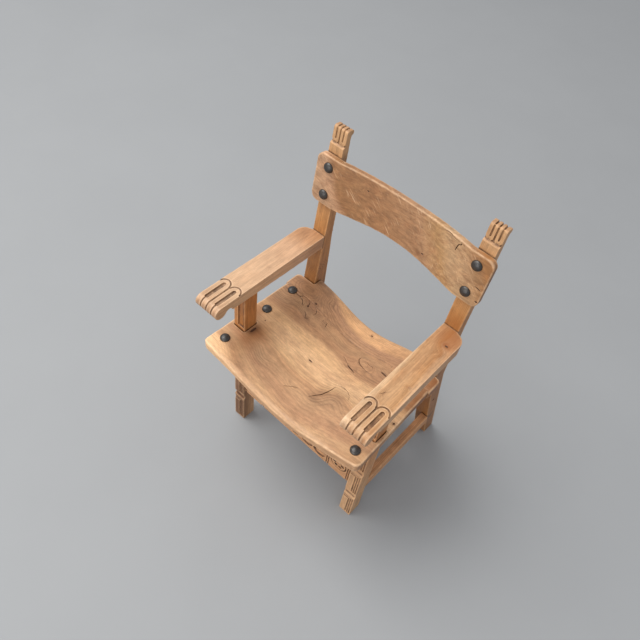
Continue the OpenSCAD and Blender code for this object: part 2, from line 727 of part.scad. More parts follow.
// Carving of the front stretcher, cut down from Z = 0: a rosette near each end between paired
// upright grooves, and a row of shallow scallops along the middle.
rosette_petals = 6;
groove_gap = 3;                           // from a rosette to the grooves beside it, and between those
module stretcher_carving(w) {
    depth = stretcher_cut;
    rosette_x = w - rosette_inset;
    for (s = [-1, 1])
        translate([s * rosette_x, 0, 0]) {
            translate([0, 0, -depth]) difference() {
                cylinder(d = rosette_d, h = far);
                translate([0, 0, -eps]) cylinder(d = rosette_d - 2 * groove, h = far);
            }
            for (i = [0:rosette_petals - 1])
                rotate([0, 0, i * 360 / rosette_petals])
                    translate([rosette_d / 4, 0, -depth]) cylinder(d = rosette_d / 5, h = far, $fn = 12);
            for (side = [-1, 1], x = [rosette_d / 2 + groove_gap, rosette_d / 2 + 2 * groove_gap + groove])
                translate([side * (x + groove / 2), 0, 0])
                    cube([groove, front_stretcher_h + 2 * eps, 2 * depth], center = true);
        }
    run = rosette_x - rosette_d / 2 - 2 * (groove + groove_gap) - groove_gap;
    scallop_n = 2 * floor(run / rosette_d) + 1;
    pitch = 2 * run / scallop_n;
    for (i = [0:scallop_n - 1], s = [-1, 1])
        translate([(i + 0.5) * pitch - run, s * front_stretcher_h / 4, -depth])
            leaf(pitch - groove_gap, front_stretcher_h / 3);
}
// A pointed leaf: where two round discs overlap.
module leaf(length, height) {
    r = (length * length + height * height) / (4 * height);
    linear_extrude(far) intersection() {
        translate([0, r - height / 2]) circle(r = r);
        translate([0, height / 2 - r]) circle(r = r);
    }
}

module rear_stretcher() {
    w = back_w / 2 - back_post_w;
    color(wood_end) placed() {
        rear_stretcher_place() translate([-w, 0, 0]) cube([2 * w, rear_stretcher_t, rear_stretcher_h]);
        rear_stretcher_tenons();
    }
}

module side_stretcher(side) {
    z0 = side_stretcher_z;
    z1 = z0 + side_stretcher_h;
    color(wood_end) placed() on_side(side) {
        across(stretcher_x, stretcher_x + side_stretcher_t)
            polygon([[post_d, z0], [rake_y(z0), z0], [rake_y(z1), z1], [post_d, z1]]);
        side_stretcher_tenons();
    }
}
module side_stretcher_left() { side_stretcher(-1); }
module side_stretcher_right() { side_stretcher(1); }

// Bolts: domed heads on a shank, which is drawn down from the wood's face.
module bolt(length) {
    head_r = head_d / 2;
    ball_r = (head_r * head_r + head_h * head_h) / (2 * head_h);
    dome = asin(head_r / ball_r);
    rotate_extrude()
        polygon(concat([for (p = arc([0, head_h - ball_r], ball_r, 90, 90 - dome)) [max(0, p[0]), p[1]]],
                       [[bolt_d / 2, 0], [bolt_d / 2, -length], [0, -length]]));
}
module washer() {
    difference() {
        cylinder(d = washer_d, h = washer_t);
        translate([0, 0, -eps]) cylinder(d = bolt_d + bolt_gap, h = washer_t + 2 * eps);
    }
}
module nut() {
    difference() {
        translate([-nut_w / 2, -nut_w / 2, 0]) cube([nut_w, nut_w, nut_h]);
        translate([0, 0, -eps]) cylinder(d = bolt_d, h = nut_h + 2 * eps);
    }
}
function seat_hold(y) = seat_t + (y < 0 ? horn_h + tenon_gap : rail_h);
module seat_bolts() {
    color(iron) placed()
        for (s = [-1, 1], b = seat_bolts_at)
            translate([s * b[0], b[1], seat_h]) bolt(seat_hold(b[1]) + washer_t + nut_h + nut_stick);
}
module seat_washers() {
    color(iron) placed()
        for (s = [-1, 1], b = seat_bolts_at)
            translate([s * b[0], b[1], seat_h - seat_hold(b[1]) - washer_t]) washer();
}
module seat_nuts() {
    color(iron) placed()
        for (s = [-1, 1], b = seat_bolts_at)
            translate([s * b[0], b[1], seat_h - seat_hold(b[1]) - washer_t - nut_h]) nut();
}

// The posts taper, so each back washer lies flat on a spot face cut square to its bolt.
back_hold = plank_t + post_grip;
module back_bolts() {
    color(iron) placed() back_bolt_places() bolt(back_hold + washer_t + nut_h + nut_stick);
}
module back_washers() {
    color(iron) placed() back_bolt_places() translate([0, 0, -back_hold - washer_t]) washer();
}
module back_nuts() {
    color(iron) placed() back_bolt_places() translate([0, 0, -back_hold - washer_t - nut_h]) nut();
}

front_post_left();
front_post_right();
back_post_left();
back_post_right();
arm_left();
arm_right();
seat_front_board();
seat_rear_board();
seat_dowels();
back_plank();
seat_rail_left();
seat_rail_right();
front_stretcher();
rear_stretcher();
side_stretcher_left();
side_stretcher_right();
seat_bolts();
seat_washers();
seat_nuts();
back_bolts();
back_washers();
back_nuts();
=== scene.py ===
"""Looks of a rustic wooden armchair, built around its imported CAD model.

Every wooden piece starts as a copy of its CAD node, so that it has the true shape. It is welded,
remeshed in small voxels and smoothed, which rounds its edges as years of use do, and then cracks,
knots and holes are cut into it. Wood is a procedural material whose growth rings bend round the
knots. Lengths are in millimetres unless a comment says otherwise, with Y = 0 at the front posts'
front faces, and to_row() takes them to the shared frame in metres.
"""
import logging
import math
from contextlib import contextmanager
from dataclasses import dataclass
from enum import Enum
from functools import partial
from typing import Callable, Iterator, NamedTuple, Optional, Sequence, Union

import bpy
import numpy as np
from bpy.types import Material, Mesh, Node, NodeSocket as Socket, NodeTree, Object
from mathutils import Matrix, Vector
from mathutils.bvhtree import BVHTree


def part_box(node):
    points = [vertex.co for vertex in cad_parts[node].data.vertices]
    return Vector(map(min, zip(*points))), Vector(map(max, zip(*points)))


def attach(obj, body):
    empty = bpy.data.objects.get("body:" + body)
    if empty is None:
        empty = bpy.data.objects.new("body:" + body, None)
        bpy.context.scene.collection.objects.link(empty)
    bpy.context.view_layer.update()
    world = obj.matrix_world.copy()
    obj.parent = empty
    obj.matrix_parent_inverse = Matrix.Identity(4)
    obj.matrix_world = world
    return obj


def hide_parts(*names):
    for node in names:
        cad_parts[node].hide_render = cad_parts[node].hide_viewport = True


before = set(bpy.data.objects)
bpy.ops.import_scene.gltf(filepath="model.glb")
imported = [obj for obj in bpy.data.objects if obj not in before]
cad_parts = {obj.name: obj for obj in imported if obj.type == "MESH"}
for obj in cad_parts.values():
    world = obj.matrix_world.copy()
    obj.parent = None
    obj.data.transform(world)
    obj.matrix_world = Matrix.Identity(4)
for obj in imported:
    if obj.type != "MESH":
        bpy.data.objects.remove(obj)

LOG = logging.getLogger("armchair")
MM = 0.001
FRONT_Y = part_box("front_post_left")[0].y  # the front posts' front faces, in metres
SEAT_BOARDS = {"seat_front_board", "seat_rear_board"}
JOINED = tuple(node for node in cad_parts
               if not node.endswith(("bolts", "washers", "nuts", "dowels")))
WELD = 0.01  # distance over which vertices are joined
RELIEF_REACH = 4.0  # about how far the surroundings of a ridge reach
RELIEF_HEIGHT = 0.5  # height over them that counts as a full ridge
JOINT_DIRT_AND_SHADE_REACH = 3.5  # how far dirt and painted shade spread from a joint
RAY_START = 900.0  # where the search for a side's surface starts, well outside
CURVE_STEPS = 4  # steps to each span of a crack's curve
DARK_LIMIT = 0.8  # the strongest darkening from knots, stains and painted shadow alike
WARM_LIMIT = 0.9  # the strongest warm stain
STIR_RADIUS = 60.0  # knots wider than this leave the lines between years as they are
SIDES = ("left", "right")

Place = tuple[float, float]
Point = tuple[float, float, float]
Colour = tuple[float, float, float, float]
Value = Union[float, Sequence[float], Socket]


def to_row(x: float, y: float, z: float) -> Vector:
    """Takes a point in millimetres to the shared frame.

    Args:
        x: Distance to the right of the chair's middle.
        y: Distance behind the front posts' front faces.
        z: Height above the floor.

    Returns:
        The point in metres.
    """
    return Vector((x * MM, y * MM + FRONT_Y, z * MM))


def colour(code: str) -> Colour:
    """Turns an sRGB hex colour into the linear values that shaders use.

    Args:
        code: The colour, such as "#DDB187".

    Returns:
        Linear red, green, blue and alpha.
    """
    srgb = [int(code[i:i + 2], 16) / 255 for i in (1, 3, 5)]
    linear = [c / 12.92 if c <= 0.04045 else ((c + 0.055) / 1.055) ** 2.4 for c in srgb]
    return (linear[0], linear[1], linear[2], 1.0)


class Grain(Enum):
    """The direction in which a piece's fibres run, and the two directions across them."""

    X = ((1, 0, 0), (0, 1, 0), (0, 0, 1))
    Y = ((0, 1, 0), (1, 0, 0), (0, 0, 1))
    Z = ((0, 0, 1), (1, 0, 0), (0, 1, 0))

    @property
    def along(self) -> Vector:
        """The fibres' direction."""
        return Vector(self.value[0])

    def stretch(self, factor: float) -> Vector:
        """Scale for a pattern that is longer along the fibres by a factor."""
        return Vector((1, 1, 1)) - self.along * (1 - 1 / factor)


class Face(Enum):
    """A side of a piece: the two directions that places on it are counted in, and its normal."""

    TOP = ((1, 0, 0), (0, 1, 0), (0, 0, 1))
    FRONT = ((1, 0, 0), (0, 0, 1), (0, -1, 0))
    RIGHT = ((0, 1, 0), (0, 0, 1), (1, 0, 0))

    @property
    def axes(self) -> tuple[Vector, Vector, Vector]:
        """The two directions in the side and its normal."""
        return tuple(Vector(axis) for axis in self.value)

    def surface(self, obj: Object, u: float, v: float) -> Vector:
        """Finds where a line square to this side first meets a piece.

        Args:
            obj: The piece.
            u: Distance along the side's first direction.
            v: Distance along its second direction.

        Returns:
            The point on the surface, in metres.
        """
        first, second, normal = self.axes
        start = to_row(*(first * u + second * v + normal * RAY_START))
        hit, place, _, _ = obj.ray_cast(start, -normal)
        if not hit:
            raise ValueError(f"{obj.name} has no surface at {u}, {v} on its {self.name} side")
        return place


# --- Mesh work ---


def pick(obj: Object) -> None:
    """Makes one object the only selected one and the active one."""
    bpy.ops.object.select_all(action="DESELECT")
    obj.select_set(True)
    bpy.context.view_layer.objects.active = obj


def add_object(operator: Callable[..., set[str]], **settings: object) -> Object:
    """Adds an object with one of Blender's operators, and selects it alone."""
    bpy.ops.object.select_all(action="DESELECT")
    operator(**settings)
    return bpy.context.object


@contextmanager
def editing(obj: Object) -> Iterator[None]:
    """Opens a mesh for editing with all of it selected, and closes it again."""
    pick(obj)
    bpy.ops.object.mode_set(mode="EDIT")
    bpy.ops.mesh.select_all(action="SELECT")
    try:
        yield
    finally:
        bpy.ops.object.mode_set(mode="OBJECT")


def turn_outward() -> None:
    """Turns all faces of the mesh that is being edited outward."""
    bpy.ops.mesh.select_all(action="SELECT")
    bpy.ops.mesh.normals_make_consistent(inside=False)


def apply_modifier(obj: Object, kind: str, **settings: object) -> None:
    """Adds a modifier with settings and applies it.

    Args:
        obj: The object to change.
        kind: The modifier's type, such as "REMESH".
        settings: The modifier's properties.
    """
    modifier = obj.modifiers.new(kind.lower(), kind)
    for key, value in settings.items():
        setattr(modifier, key, value)
    pick(obj)
    bpy.ops.object.modifier_apply(modifier=modifier.name)


def dress(mesh: Mesh, material: Material) -> None:
    """Gives a mesh one material in place of those that it has."""
    mesh.materials.clear()
    mesh.materials.append(material)


def hand_over(obj: Object, node: str) -> None:
    """Attaches a finished piece to the root body, hides the CAD node that it stands for, and logs
    it.
    """
    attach(obj, "root")
    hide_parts(node)
    LOG.info("%s: %d faces", obj.name, len(obj.data.polygons))


def copy_node(node: str, name: str) -> Object:
    """Copies a CAD node's mesh into a new object and welds it.

    Args:
        node: The CAD node's name.
        name: The new piece's name.

    Returns:
        The new object, at the origin.
    """
    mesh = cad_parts[node].data.copy()
    mesh.name = name
    mesh.materials.clear()
    obj = bpy.data.objects.new(name, mesh)
    bpy.context.collection.objects.link(obj)
    with editing(obj):
        bpy.ops.mesh.remove_doubles(threshold=WELD * MM)
        turn_outward()
    return obj


def vertex_places(mesh: Mesh) -> np.ndarray:
    """The places of a mesh's vertices, one to a row, in metres."""
    places = np.empty(len(mesh.vertices) * 3)
    mesh.vertices.foreach_get("co", places)
    return places.reshape(-1, 3)


def store(mesh: Mesh, name: str, values: np.ndarray) -> None:
    """Stores a number for each vertex as an attribute."""
    attribute = mesh.attributes.new(name, "FLOAT", "POINT")
    attribute.data.foreach_set("value", values.astype(np.float32))


def measure_relief(mesh: Mesh, rounds: int) -> None:
    """Stores how far each vertex stands out of its smoothed surroundings, as attribute "worn".

    Ridges get values up to 1 and grooves down to -1. The wood's material makes the first pale, as
    wear and as a painted highlight, and darkens the second, as dirt and as painted shade.

    Args:
        mesh: The mesh to measure.
        rounds: How many times the surroundings are averaged.
    """
    count = len(mesh.vertices)
    places = vertex_places(mesh)
    normals = np.empty(count * 3, np.float32)
    mesh.vertex_normals.foreach_get("vector", normals)
    ends = np.empty(len(mesh.edges) * 2, np.int32)
    mesh.edges.foreach_get("vertices", ends)
    a, b = ends[0::2], ends[1::2]
    links = np.maximum(np.bincount(a, minlength=count) + np.bincount(b, minlength=count), 1)
    smooth = places
    for _ in range(rounds):
        sums = [np.bincount(a, smooth[b, i], count) + np.bincount(b, smooth[a, i], count)
                for i in range(3)]
        smooth = np.stack([total / links for total in sums], axis=1)
    height = ((places - smooth) * normals.reshape(-1, 3)).sum(axis=1)
    store(mesh, "relief", np.clip(height / (RELIEF_HEIGHT * MM), -1, 1))


def measure_joint_dirt_and_shade(mesh: Mesh, node: str) -> None:
    """Stores how near each vertex is to the next pieces, as attribute "grime".

    The wood's material is darker where this is near 1: dirt gathers in joints, and the darkening is
    also painted shade where the pieces meet.

    Args:
        mesh: The mesh to measure.
        node: The CAD node that it stands for.
    """
    limit = JOINT_DIRT_AND_SHADE_REACH * MM
    places = vertex_places(mesh)
    joint_dirt_and_shade = np.zeros(len(places), np.float32)
    for other in JOINED:
        if other == node or {other, node} == SEAT_BOARDS:
            continue
        low, high = (np.array(corner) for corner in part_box(other))
        close = np.nonzero(((places > low - limit) & (places < high + limit)).all(axis=1))[0]
        if not len(close):
            continue
        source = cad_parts[other].data
        tree = BVHTree.FromPolygons([v.co for v in source.vertices],
                                    [f.vertices for f in source.polygons])
        for i in close:
            distance = tree.find_nearest(places[i], limit)[3]
            if distance is not None:
                joint_dirt_and_shade[i] = max(joint_dirt_and_shade[i], 1 - distance / limit)
    store(mesh, "joint_dirt_and_shade", joint_dirt_and_shade)


@dataclass(frozen=True)
class Wear:
    """How a piece is remeshed and worn."""

    voxel: float  # size of the voxels that the piece is remeshed in
    rounds: int  # rounds of smoothing
    keep: float  # share of the faces that is kept
    ripple: float  # depth of the hand-worked unevenness
    ripple_size: float

    def apply_to(self, obj: Object, node: str) -> None:
        """Remeshes, ripples, smooths and thins a mesh.

        Args:
            obj: The piece.
            node: The CAD node that it stands for.
        """
        coarse = 1.0
        voxel = self.voxel * coarse
        apply_modifier(obj, "REMESH", mode="VOXEL", voxel_size=voxel * MM, use_smooth_shade=True)
        apply_modifier(obj, "SMOOTH", factor=0.5, iterations=round(self.rounds / coarse ** 2))
        clouds = bpy.data.textures.new("unevenness", "CLOUDS")
        clouds.noise_scale = self.ripple_size * MM
        apply_modifier(obj, "DISPLACE", texture=clouds, strength=self.ripple * MM, mid_level=1.0)
        measure_relief(obj.data, max(2, round((RELIEF_REACH / voxel) ** 2)))
        measure_joint_dirt_and_shade(obj.data, node)
        apply_modifier(obj, "DECIMATE", ratio=self.keep)


# --- Marks that are cut into the wood ---


def curve_through(points: Sequence[Place]) -> list[Place]:
    """Finds points on a smooth curve.

    Args:
        points: Places that the curve goes through.

    Returns:
        These places, with CURVE_STEPS steps from each to the next.
    """
    padded = [points[0], *points, points[-1]]
    found = []
    for i in range(len(points) - 1):
        p0, p1, p2, p3 = (Vector(p) for p in padded[i:i + 4])
        for k in range(CURVE_STEPS):
            t = k / CURVE_STEPS
            found.append(tuple(0.5 * (2 * p1 + (p2 - p0) * t
                                      + (2 * p0 - 5 * p1 + 4 * p2 - p3) * t ** 2
                                      + (3 * p1 - p0 - 3 * p2 + p3) * t ** 3)))
    return [*found, tuple(points[-1])]


@dataclass(frozen=True)
class Crack:
    """A crack that follows given points on a face and tapers to its ends."""

    face: Face
    points: tuple[Place, ...]
    width: float
    depth: float
    ends: float = 0.25  # the ends' width as a share of the middle's

    def cutter(self, obj: Object) -> Object:
        """Sweeps a three-sided blade along the points, just under a piece's surface.

        Args:
            obj: The piece that the crack is in.

        Returns:
            The blade.
        """
        path = [self.face.surface(obj, u, v) for u, v in curve_through(self.points)]
        spread = [self.ends + (1 - self.ends) * math.sin(math.pi * i / (len(path) - 1))
                  for i in range(len(path))]
        inward = -self.face.axes[2]
        ahead = path[-1] - path[0]
        ahead = (ahead - ahead.dot(inward) * inward).normalized()
        turn = Matrix((inward.cross(ahead), inward, ahead)).transposed()
        blade = add_object(bpy.ops.mesh.primitive_circle_add, vertices=3, radius=spread[0],
                           fill_type="NGON", location=path[0], rotation=turn.to_euler())
        blade.scale = (self.width * MM, self.depth * MM, self.width * MM)
        with editing(blade):
            for i in range(1, len(path)):
                bpy.ops.mesh.extrude_region_move(
                    TRANSFORM_OT_translate={"value": path[i] - path[i - 1]})
                bpy.ops.transform.resize(value=(spread[i] / spread[i - 1],) * 3,
                                         center_override=path[i])
            turn_outward()
        bpy.ops.object.transform_apply(location=True, rotation=True, scale=True)
        return blade


@dataclass(frozen=True)
class Pit:
    """A knot, dent or small hole: a round hollow in a face."""

    face: Face
    place: Place
    size: tuple[float, float]
    depth: float

    def cutter(self, obj: Object) -> Object:
        """Puts a ball, flattened to the hollow's width and depth, at a piece's surface.

        Args:
            obj: The piece that the hollow is in.

        Returns:
            The ball.
        """
        ball = add_object(bpy.ops.mesh.primitive_uv_sphere_add, segments=20, ring_count=10,
                          radius=0.5, location=self.face.surface(obj, *self.place))
        first, second, normal = self.face.axes
        ball.scale = (first * self.size[0] + second * self.size[1]
                      + Vector(map(abs, normal)) * 2 * self.depth) * MM
        bpy.ops.object.transform_apply(location=True, rotation=True, scale=True)
        return ball


Mark = Union[Crack, Pit]


def cut_away(obj: Object, mark: Mark, lining: Material) -> None:
    """Cuts a mark into a piece and lines it with a material."""
    cutter = mark.cutter(obj)
    cutter.data.materials.append(lining)
    apply_modifier(obj, "BOOLEAN", operation="DIFFERENCE", object=cutter, solver="MANIFOLD",
                   material_mode="TRANSFER")
    bpy.data.objects.remove(cutter, do_unlink=True)


# --- Materials ---


class Tree:
    """Adds nodes to one node tree."""

    def __init__(self, tree: NodeTree) -> None:
        self.tree = tree

    def add(self, kind: str, inputs: Optional[dict] = None, **settings: object) -> Node:
        """Adds one node.

        Args:
            kind: The node's type, without "ShaderNode".
            inputs: Values or sockets for its inputs, by name or number.
            settings: The node's properties.

        Returns:
            The new node.
        """
        node = self.tree.nodes.new(kind if kind.startswith("Node") else "ShaderNode" + kind)
        for key, value in settings.items():
            setattr(node, key, value)
        for key, value in (inputs or {}).items():
            if isinstance(value, Socket):
                self.tree.links.new(value, node.inputs[key])
            else:
                node.inputs[key].default_value = value
        return node

    def place(self) -> Socket:
        """The shaded point in the piece's own coordinates, in metres."""
        return self.add("TexCoord").outputs["Object"]

    def attribute(self, name: str) -> Socket:
        """A number that is stored with the vertices."""
        return self.add("Attribute", attribute_name=name).outputs["Fac"]

    def math(self, operation: str, *values: Value) -> Socket:
        """The result of a sum on numbers."""
        return self.add("Math", dict(enumerate(values)), operation=operation).outputs[0]

    def line(self, value: Value, slope: Value, start: Value) -> Socket:
        """A number times a slope, added to a start."""
        return self.math("MULTIPLY_ADD", value, slope, start)

    def product(self, first: Value, *others: Value) -> Socket:
        """The product of numbers."""
        for other in others:
            first = self.math("MULTIPLY", first, other)
        return first

    def vector(self, operation: str, *values: Value) -> Socket:
        """The result of a sum on vectors, which is a number for a dot product or a length."""
        node = self.add("VectorMath", dict(enumerate(values)), operation=operation)
        return node.outputs["Value" if operation in ("DOT_PRODUCT", "LENGTH") else "Vector"]

    def noise(self, place: Value, size: float, detail: float = 3.0, rough: float = 0.5,
              bend: float = 0.0, output: str = "Fac") -> Socket:
        """Noise from 0 to 1 whose lumps have a size in the place's units."""
        return self.add("TexNoise", {"Vector": place, "Scale": 1 / size, "Detail": detail,
                                     "Roughness": rough, "Distortion": bend}).outputs[output]

    def span(self, value: Value, low: float, high: float, start: float = 0.0,
             end: float = 1.0) -> Socket:
        """Takes the range from low to high to that from start to end, softly and with limits."""
        return self.add("MapRange", {"Value": value, "From Min": low, "From Max": high,
                                     "To Min": start, "To Max": end},
                        interpolation_type="SMOOTHSTEP").outputs["Result"]

    def ramp(self, value: Value, stops: Sequence[tuple[float, str]]) -> Socket:
        """A colour between hex colours at given places from 0 to 1."""
        node = self.add("ValToRGB", {"Fac": value})
        elements = node.color_ramp.elements
        while len(elements) < len(stops):
            elements.new(0.5)
        for element, (place, code) in zip(elements, stops):
            element.position = place
            element.color = colour(code)
        return node.outputs["Color"]

    def blend(self, share: Value, first: Value, code: str, mode: str = "MIX") -> Socket:
        """Mixes a share of a hex colour into a colour."""
        return self.add("Mix", {0: share, 6: first, 7: colour(code)}, data_type="RGBA",
                        blend_type=mode).outputs[2]

    def finish(self, tone: Value, rough: Value, height: Value = 0.0, depth: float = 0.0,
               strength: float = 1.0, **others: Value) -> None:
        """Adds the shader, with a fine relief if it has a depth, and the output."""
        inputs = {"Base Color": tone, "Roughness": rough, **others}
        if depth:
            inputs["Normal"] = self.add("Bump", {"Height": height, "Distance": depth * MM,
                                                 "Strength": strength}).outputs[0]
        shader = self.add("BsdfPrincipled", inputs)
        self.add("OutputMaterial", {"Surface": shader.outputs[0]})


def new_material(name: str) -> tuple[Material, Tree]:
    """Makes a material without nodes.

    Args:
        name: The material's name.

    Returns:
        The material, and the tree that its nodes are added to.
    """
    material = bpy.data.materials.new(name)
    material.use_nodes = True
    material.node_tree.nodes.clear()
    return material, Tree(material.node_tree)


def knot_group() -> NodeTree:
    """The node group that gives a soft bump round a place, made once and then shared."""
    name = "knot"
    if name in bpy.data.node_groups:
        return bpy.data.node_groups[name]
    group = bpy.data.node_groups.new(name, "ShaderNodeTree")
    for title in ("Place", "Centre", "Radii"):
        group.interface.new_socket(title, in_out="INPUT", socket_type="NodeSocketVector")
    group.interface.new_socket("Bump", in_out="OUTPUT", socket_type="NodeSocketFloat")
    tree = Tree(group)
    given = tree.add("NodeGroupInput").outputs
    share = tree.vector("SUBTRACT", given["Place"], given["Centre"])
    share = tree.vector("DIVIDE", share, given["Radii"])
    square = tree.vector("DOT_PRODUCT", share, share)
    tree.add("NodeGroupOutput", {"Bump": tree.math("EXPONENT", tree.product(square, -1.0))})
    return group


class Knot(NamedTuple):
    """A place that the growth rings bend round."""

    centre: Point
    radii: Point
    lift: float = 0.0  # how far the rings are pushed
    dark: float = 0.0  # how far the wood is darkened here: a stain, and on the left front leg a painted shadow
    warm: float = 0.0  # how far it is stained orange-brown


class Growth(NamedTuple):
    """What the tree's growth makes of a place in the wood."""

    place: Socket  # the place as the rings see it
    push: Value  # how far the knots push the rings
    dark: Value  # how far they darken the wood: stains, and painted shadow
    warm: Value  # how far they stain it orange-brown
    stir: Value  # how near a small knot is


# For each figure how far it is drawn out along the fibres, its lumps' width, detail and roughness.
FIBRE = (30, 1.3, 4, 0.6)
STREAK = (12, 7, 3, 0.5)
PORE = (14, 0.5, 1, 0.5)
MOTTLE = (2, 10, 5, 0.6)
CLUMP = (6, 14, 2, 0.5)  # where the lines between years are strong


@dataclass(frozen=True)
class WoodFinish:
    """A procedural wood."""

    name: str
    grain: Grain
    pith: Place  # the log's middle, in the two directions across
    bands: tuple[tuple[float, str], ...]  # places along band_axis with their colours
    band_axis: Point
    ring: float  # mean width of a year's growth
    ring_depth: float  # how dark the lines between years are
    warp: float  # how far the rings wander
    warp_size: float
    blotch: str
    blotch_share: float
    blotch_size: float
    pale: str  # rubbed ridges, with a painted highlight on them, and scratches
    knots: tuple[Knot, ...] = ()
    mottle: float = 0.1  # strength of the fine patches
    burl: float = 0.0  # how much the figure is stirred up
    scuff: float = 0.0  # strength of slanting pale scratches
    orange: str = "#9A5A22"  # warm stains
    stain: str = "#63391E"  # dark stains, and on the front posts the painted shadow on the left leg
    dirt_and_shade: str = "#45291A"  # dirt and painted shade in grooves and joints
    dirt_and_shade_share: float = 0.78  # how much of that colour a groove or joint takes
    dirt_and_shade_reach: float = 0.45  # share of the full ridge height at which a groove is fully darkened
    rub: float = 0.4  # how much of the pale colour a ridge takes, as wear and as painted highlight
    rough: float = 0.5
    lean: Optional[Point] = None  # height of a bend, and the slopes above and below it

    def build(self) -> Material:
        """Makes the material."""
        material, tree = new_material(self.name)
        place = self._place(tree)
        growth = self._growth(tree, place)
        rings = self._rings(tree, growth)
        fibre, streak, mottle, pore, blotch = (
            self._figure(tree, growth.place, *figure) for figure in
            (FIBRE, STREAK, MOTTLE, PORE, (2.2, self.blotch_size, 5, 0.62, self.burl)))
        pore = tree.span(pore, 0.66, 0.74)
        tone = tree.blend(tree.span(blotch, 0.42, 0.72, 0, self.blotch_share),
                          self._bands(tree, place, growth), self.blotch)
        shade = tree.product(tree.line(rings, -self.ring_depth, 1.0),
                             tree.span(fibre, 0.25, 0.75, 0.85, 1.08),
                             tree.span(streak, 0.3, 0.7, 0.87, 1.08),
                             tree.span(mottle, 0.3, 0.7, 1 - self.mottle, 1 + self.mottle / 2),
                             tree.line(pore, -0.35, 1.0))
        tone = tree.blend(growth.warm, tree.vector("MULTIPLY", tone, shade), self.orange)
        tone = tree.blend(growth.dark, tone, self.stain)
        if self.scuff:
            tone = tree.blend(self._scuffs(tree, place), tone, self.pale)
        tone = self._wear_and_painted_light(tree, tone, place)
        height = tree.line(fibre, 0.5, tree.line(rings, -0.35, tree.product(pore, -0.8)))
        rough = tree.line(tree.noise(place, 30, detail=2), 0.16, self.rough - 0.08)
        tree.finish(tone, rough, height, 0.25, 0.7, IOR=1.46)
        return material

    def _place(self, tree: Tree) -> Socket:
        """The shaded point in millimetres, unbent where the piece is bent."""
        place = tree.vector("MULTIPLY_ADD", tree.place(), (1 / MM,) * 3, (0, -FRONT_Y / MM, 0))
        if self.lean is None:
            return place
        bend_z, above, below = self.lean
        rise = tree.math("SUBTRACT", tree.add("SeparateXYZ", {0: place}).outputs["Z"], bend_z)
        drift = tree.math("MAXIMUM", tree.product(rise, above), tree.product(rise, -below))
        return tree.vector("SUBTRACT", place, tree.add("CombineXYZ", {"Y": drift}).outputs[0])

    def _figure(self, tree: Tree, place: Value, stretch: float, *noise: float,
                output: str = "Fac") -> Socket:
        """Noise whose lumps are some times longer along the fibres than across them."""
        drawn = tree.vector("MULTIPLY", place, self.grain.stretch(stretch))
        return tree.noise(drawn, *noise, output=output)

    def _growth(self, tree: Tree, place: Socket) -> Growth:
        """What the tree's growth makes of a place."""
        drift = self._figure(tree, place, 3.5, self.warp_size, 2, 0.45, self.burl, output="Color")
        warp = tree.vector("MULTIPLY", tree.vector("SUBTRACT", drift, (0.5,) * 3),
                           (2 * self.warp,) * 3)
        warped = tree.vector("ADD", place, warp)
        push = dark = warm = stir = 0.0
        for knot in self.knots:
            group = tree.add("Group", node_tree=knot_group())
            for key, value in (("Centre", knot.centre), ("Radii", knot.radii)):
                group.inputs[key].default_value = value
            tree.tree.links.new(warped, group.inputs["Place"])
            bump = group.outputs["Bump"]
            push = tree.line(bump, knot.lift, push)
            spot = tree.math("POWER", bump, 2.0)
            dark = tree.line(spot, knot.dark, dark)
            warm = tree.line(spot, knot.warm, warm)
            if knot.lift and max(knot.radii[:2]) < STIR_RADIUS:
                stir = tree.math("ADD", stir, bump)
        dark, warm, stir = (tree.math("MINIMUM", *pair) for pair in
                            ((dark, DARK_LIMIT), (warm, WARM_LIMIT), (stir, 1.0)))
        return Growth(warped, push, dark, warm, stir)

    def _bands(self, tree: Tree, place: Socket, growth: Growth) -> Socket:
        """The broad bands of sapwood and heartwood."""
        low, high = self.bands[0][0], self.bands[-1][0]
        both = tree.vector("ADD", place, growth.place)
        halved = tree.vector("DOT_PRODUCT", both, Vector(self.band_axis) / 2)
        along = tree.math("SUBTRACT", tree.math("ADD", halved, growth.push), low)
        return tree.ramp(tree.math("DIVIDE", along, high - low),
                         [((at - low) / (high - low), code) for at, code in self.bands])

    def _rings(self, tree: Tree, growth: Growth) -> Socket:
        """Dark lines between years, which are cylinders round the pith and darker near knots."""
        first, second = (Vector(axis) for axis in self.grain.value[1:])
        centre = first * self.pith[0] + second * self.pith[1]
        across = tree.vector("MULTIPLY", tree.vector("SUBTRACT", growth.place, centre),
                             first + second)
        radius = tree.math("ADD", tree.vector("LENGTH", across), growth.push)
        spread = tree.noise(tree.add("CombineXYZ", {"X": radius}).outputs[0], self.ring * 4, 2)
        years = tree.line(spread, 3.0, tree.math("DIVIDE", radius, self.ring))
        part = tree.math("FRACT", years)
        clump = tree.span(self._figure(tree, growth.place, *CLUMP), 0.3, 0.65, 0.3, 1.0)
        weight = tree.line(growth.stir, 1.3, clump)
        return tree.product(tree.span(part, 0.35, 0.85), tree.span(part, 0.9, 1.0, 1, 0), weight)

    def _scuffs(self, tree: Tree, place: Socket) -> Socket:
        """Fine scratches that slant across a board's front, in patches."""
        turned = tree.add("VectorRotate", {"Vector": place, "Angle": math.radians(-47)},
                          rotation_type="Y_AXIS").outputs[0]
        lines = tree.noise(tree.vector("MULTIPLY", turned, (1 / 28, 1, 1)), 2.6)
        patches = tree.noise(place, 42, detail=2)
        return tree.product(tree.span(lines, 0.54, 0.72), tree.span(patches, 0.45, 0.62),
                            self.scuff)

    def _wear_and_painted_light(self, tree: Tree, tone: Socket, place: Socket) -> Socket:
        """Ridges pale with wear and painted highlight, grooves and joints dark with dirt and
        painted shade, and darker end grain.
        """
        relief = tree.attribute("relief")
        uneven = tree.span(tree.noise(place, 12), 0.3, 0.7, 0.4, 1.0)
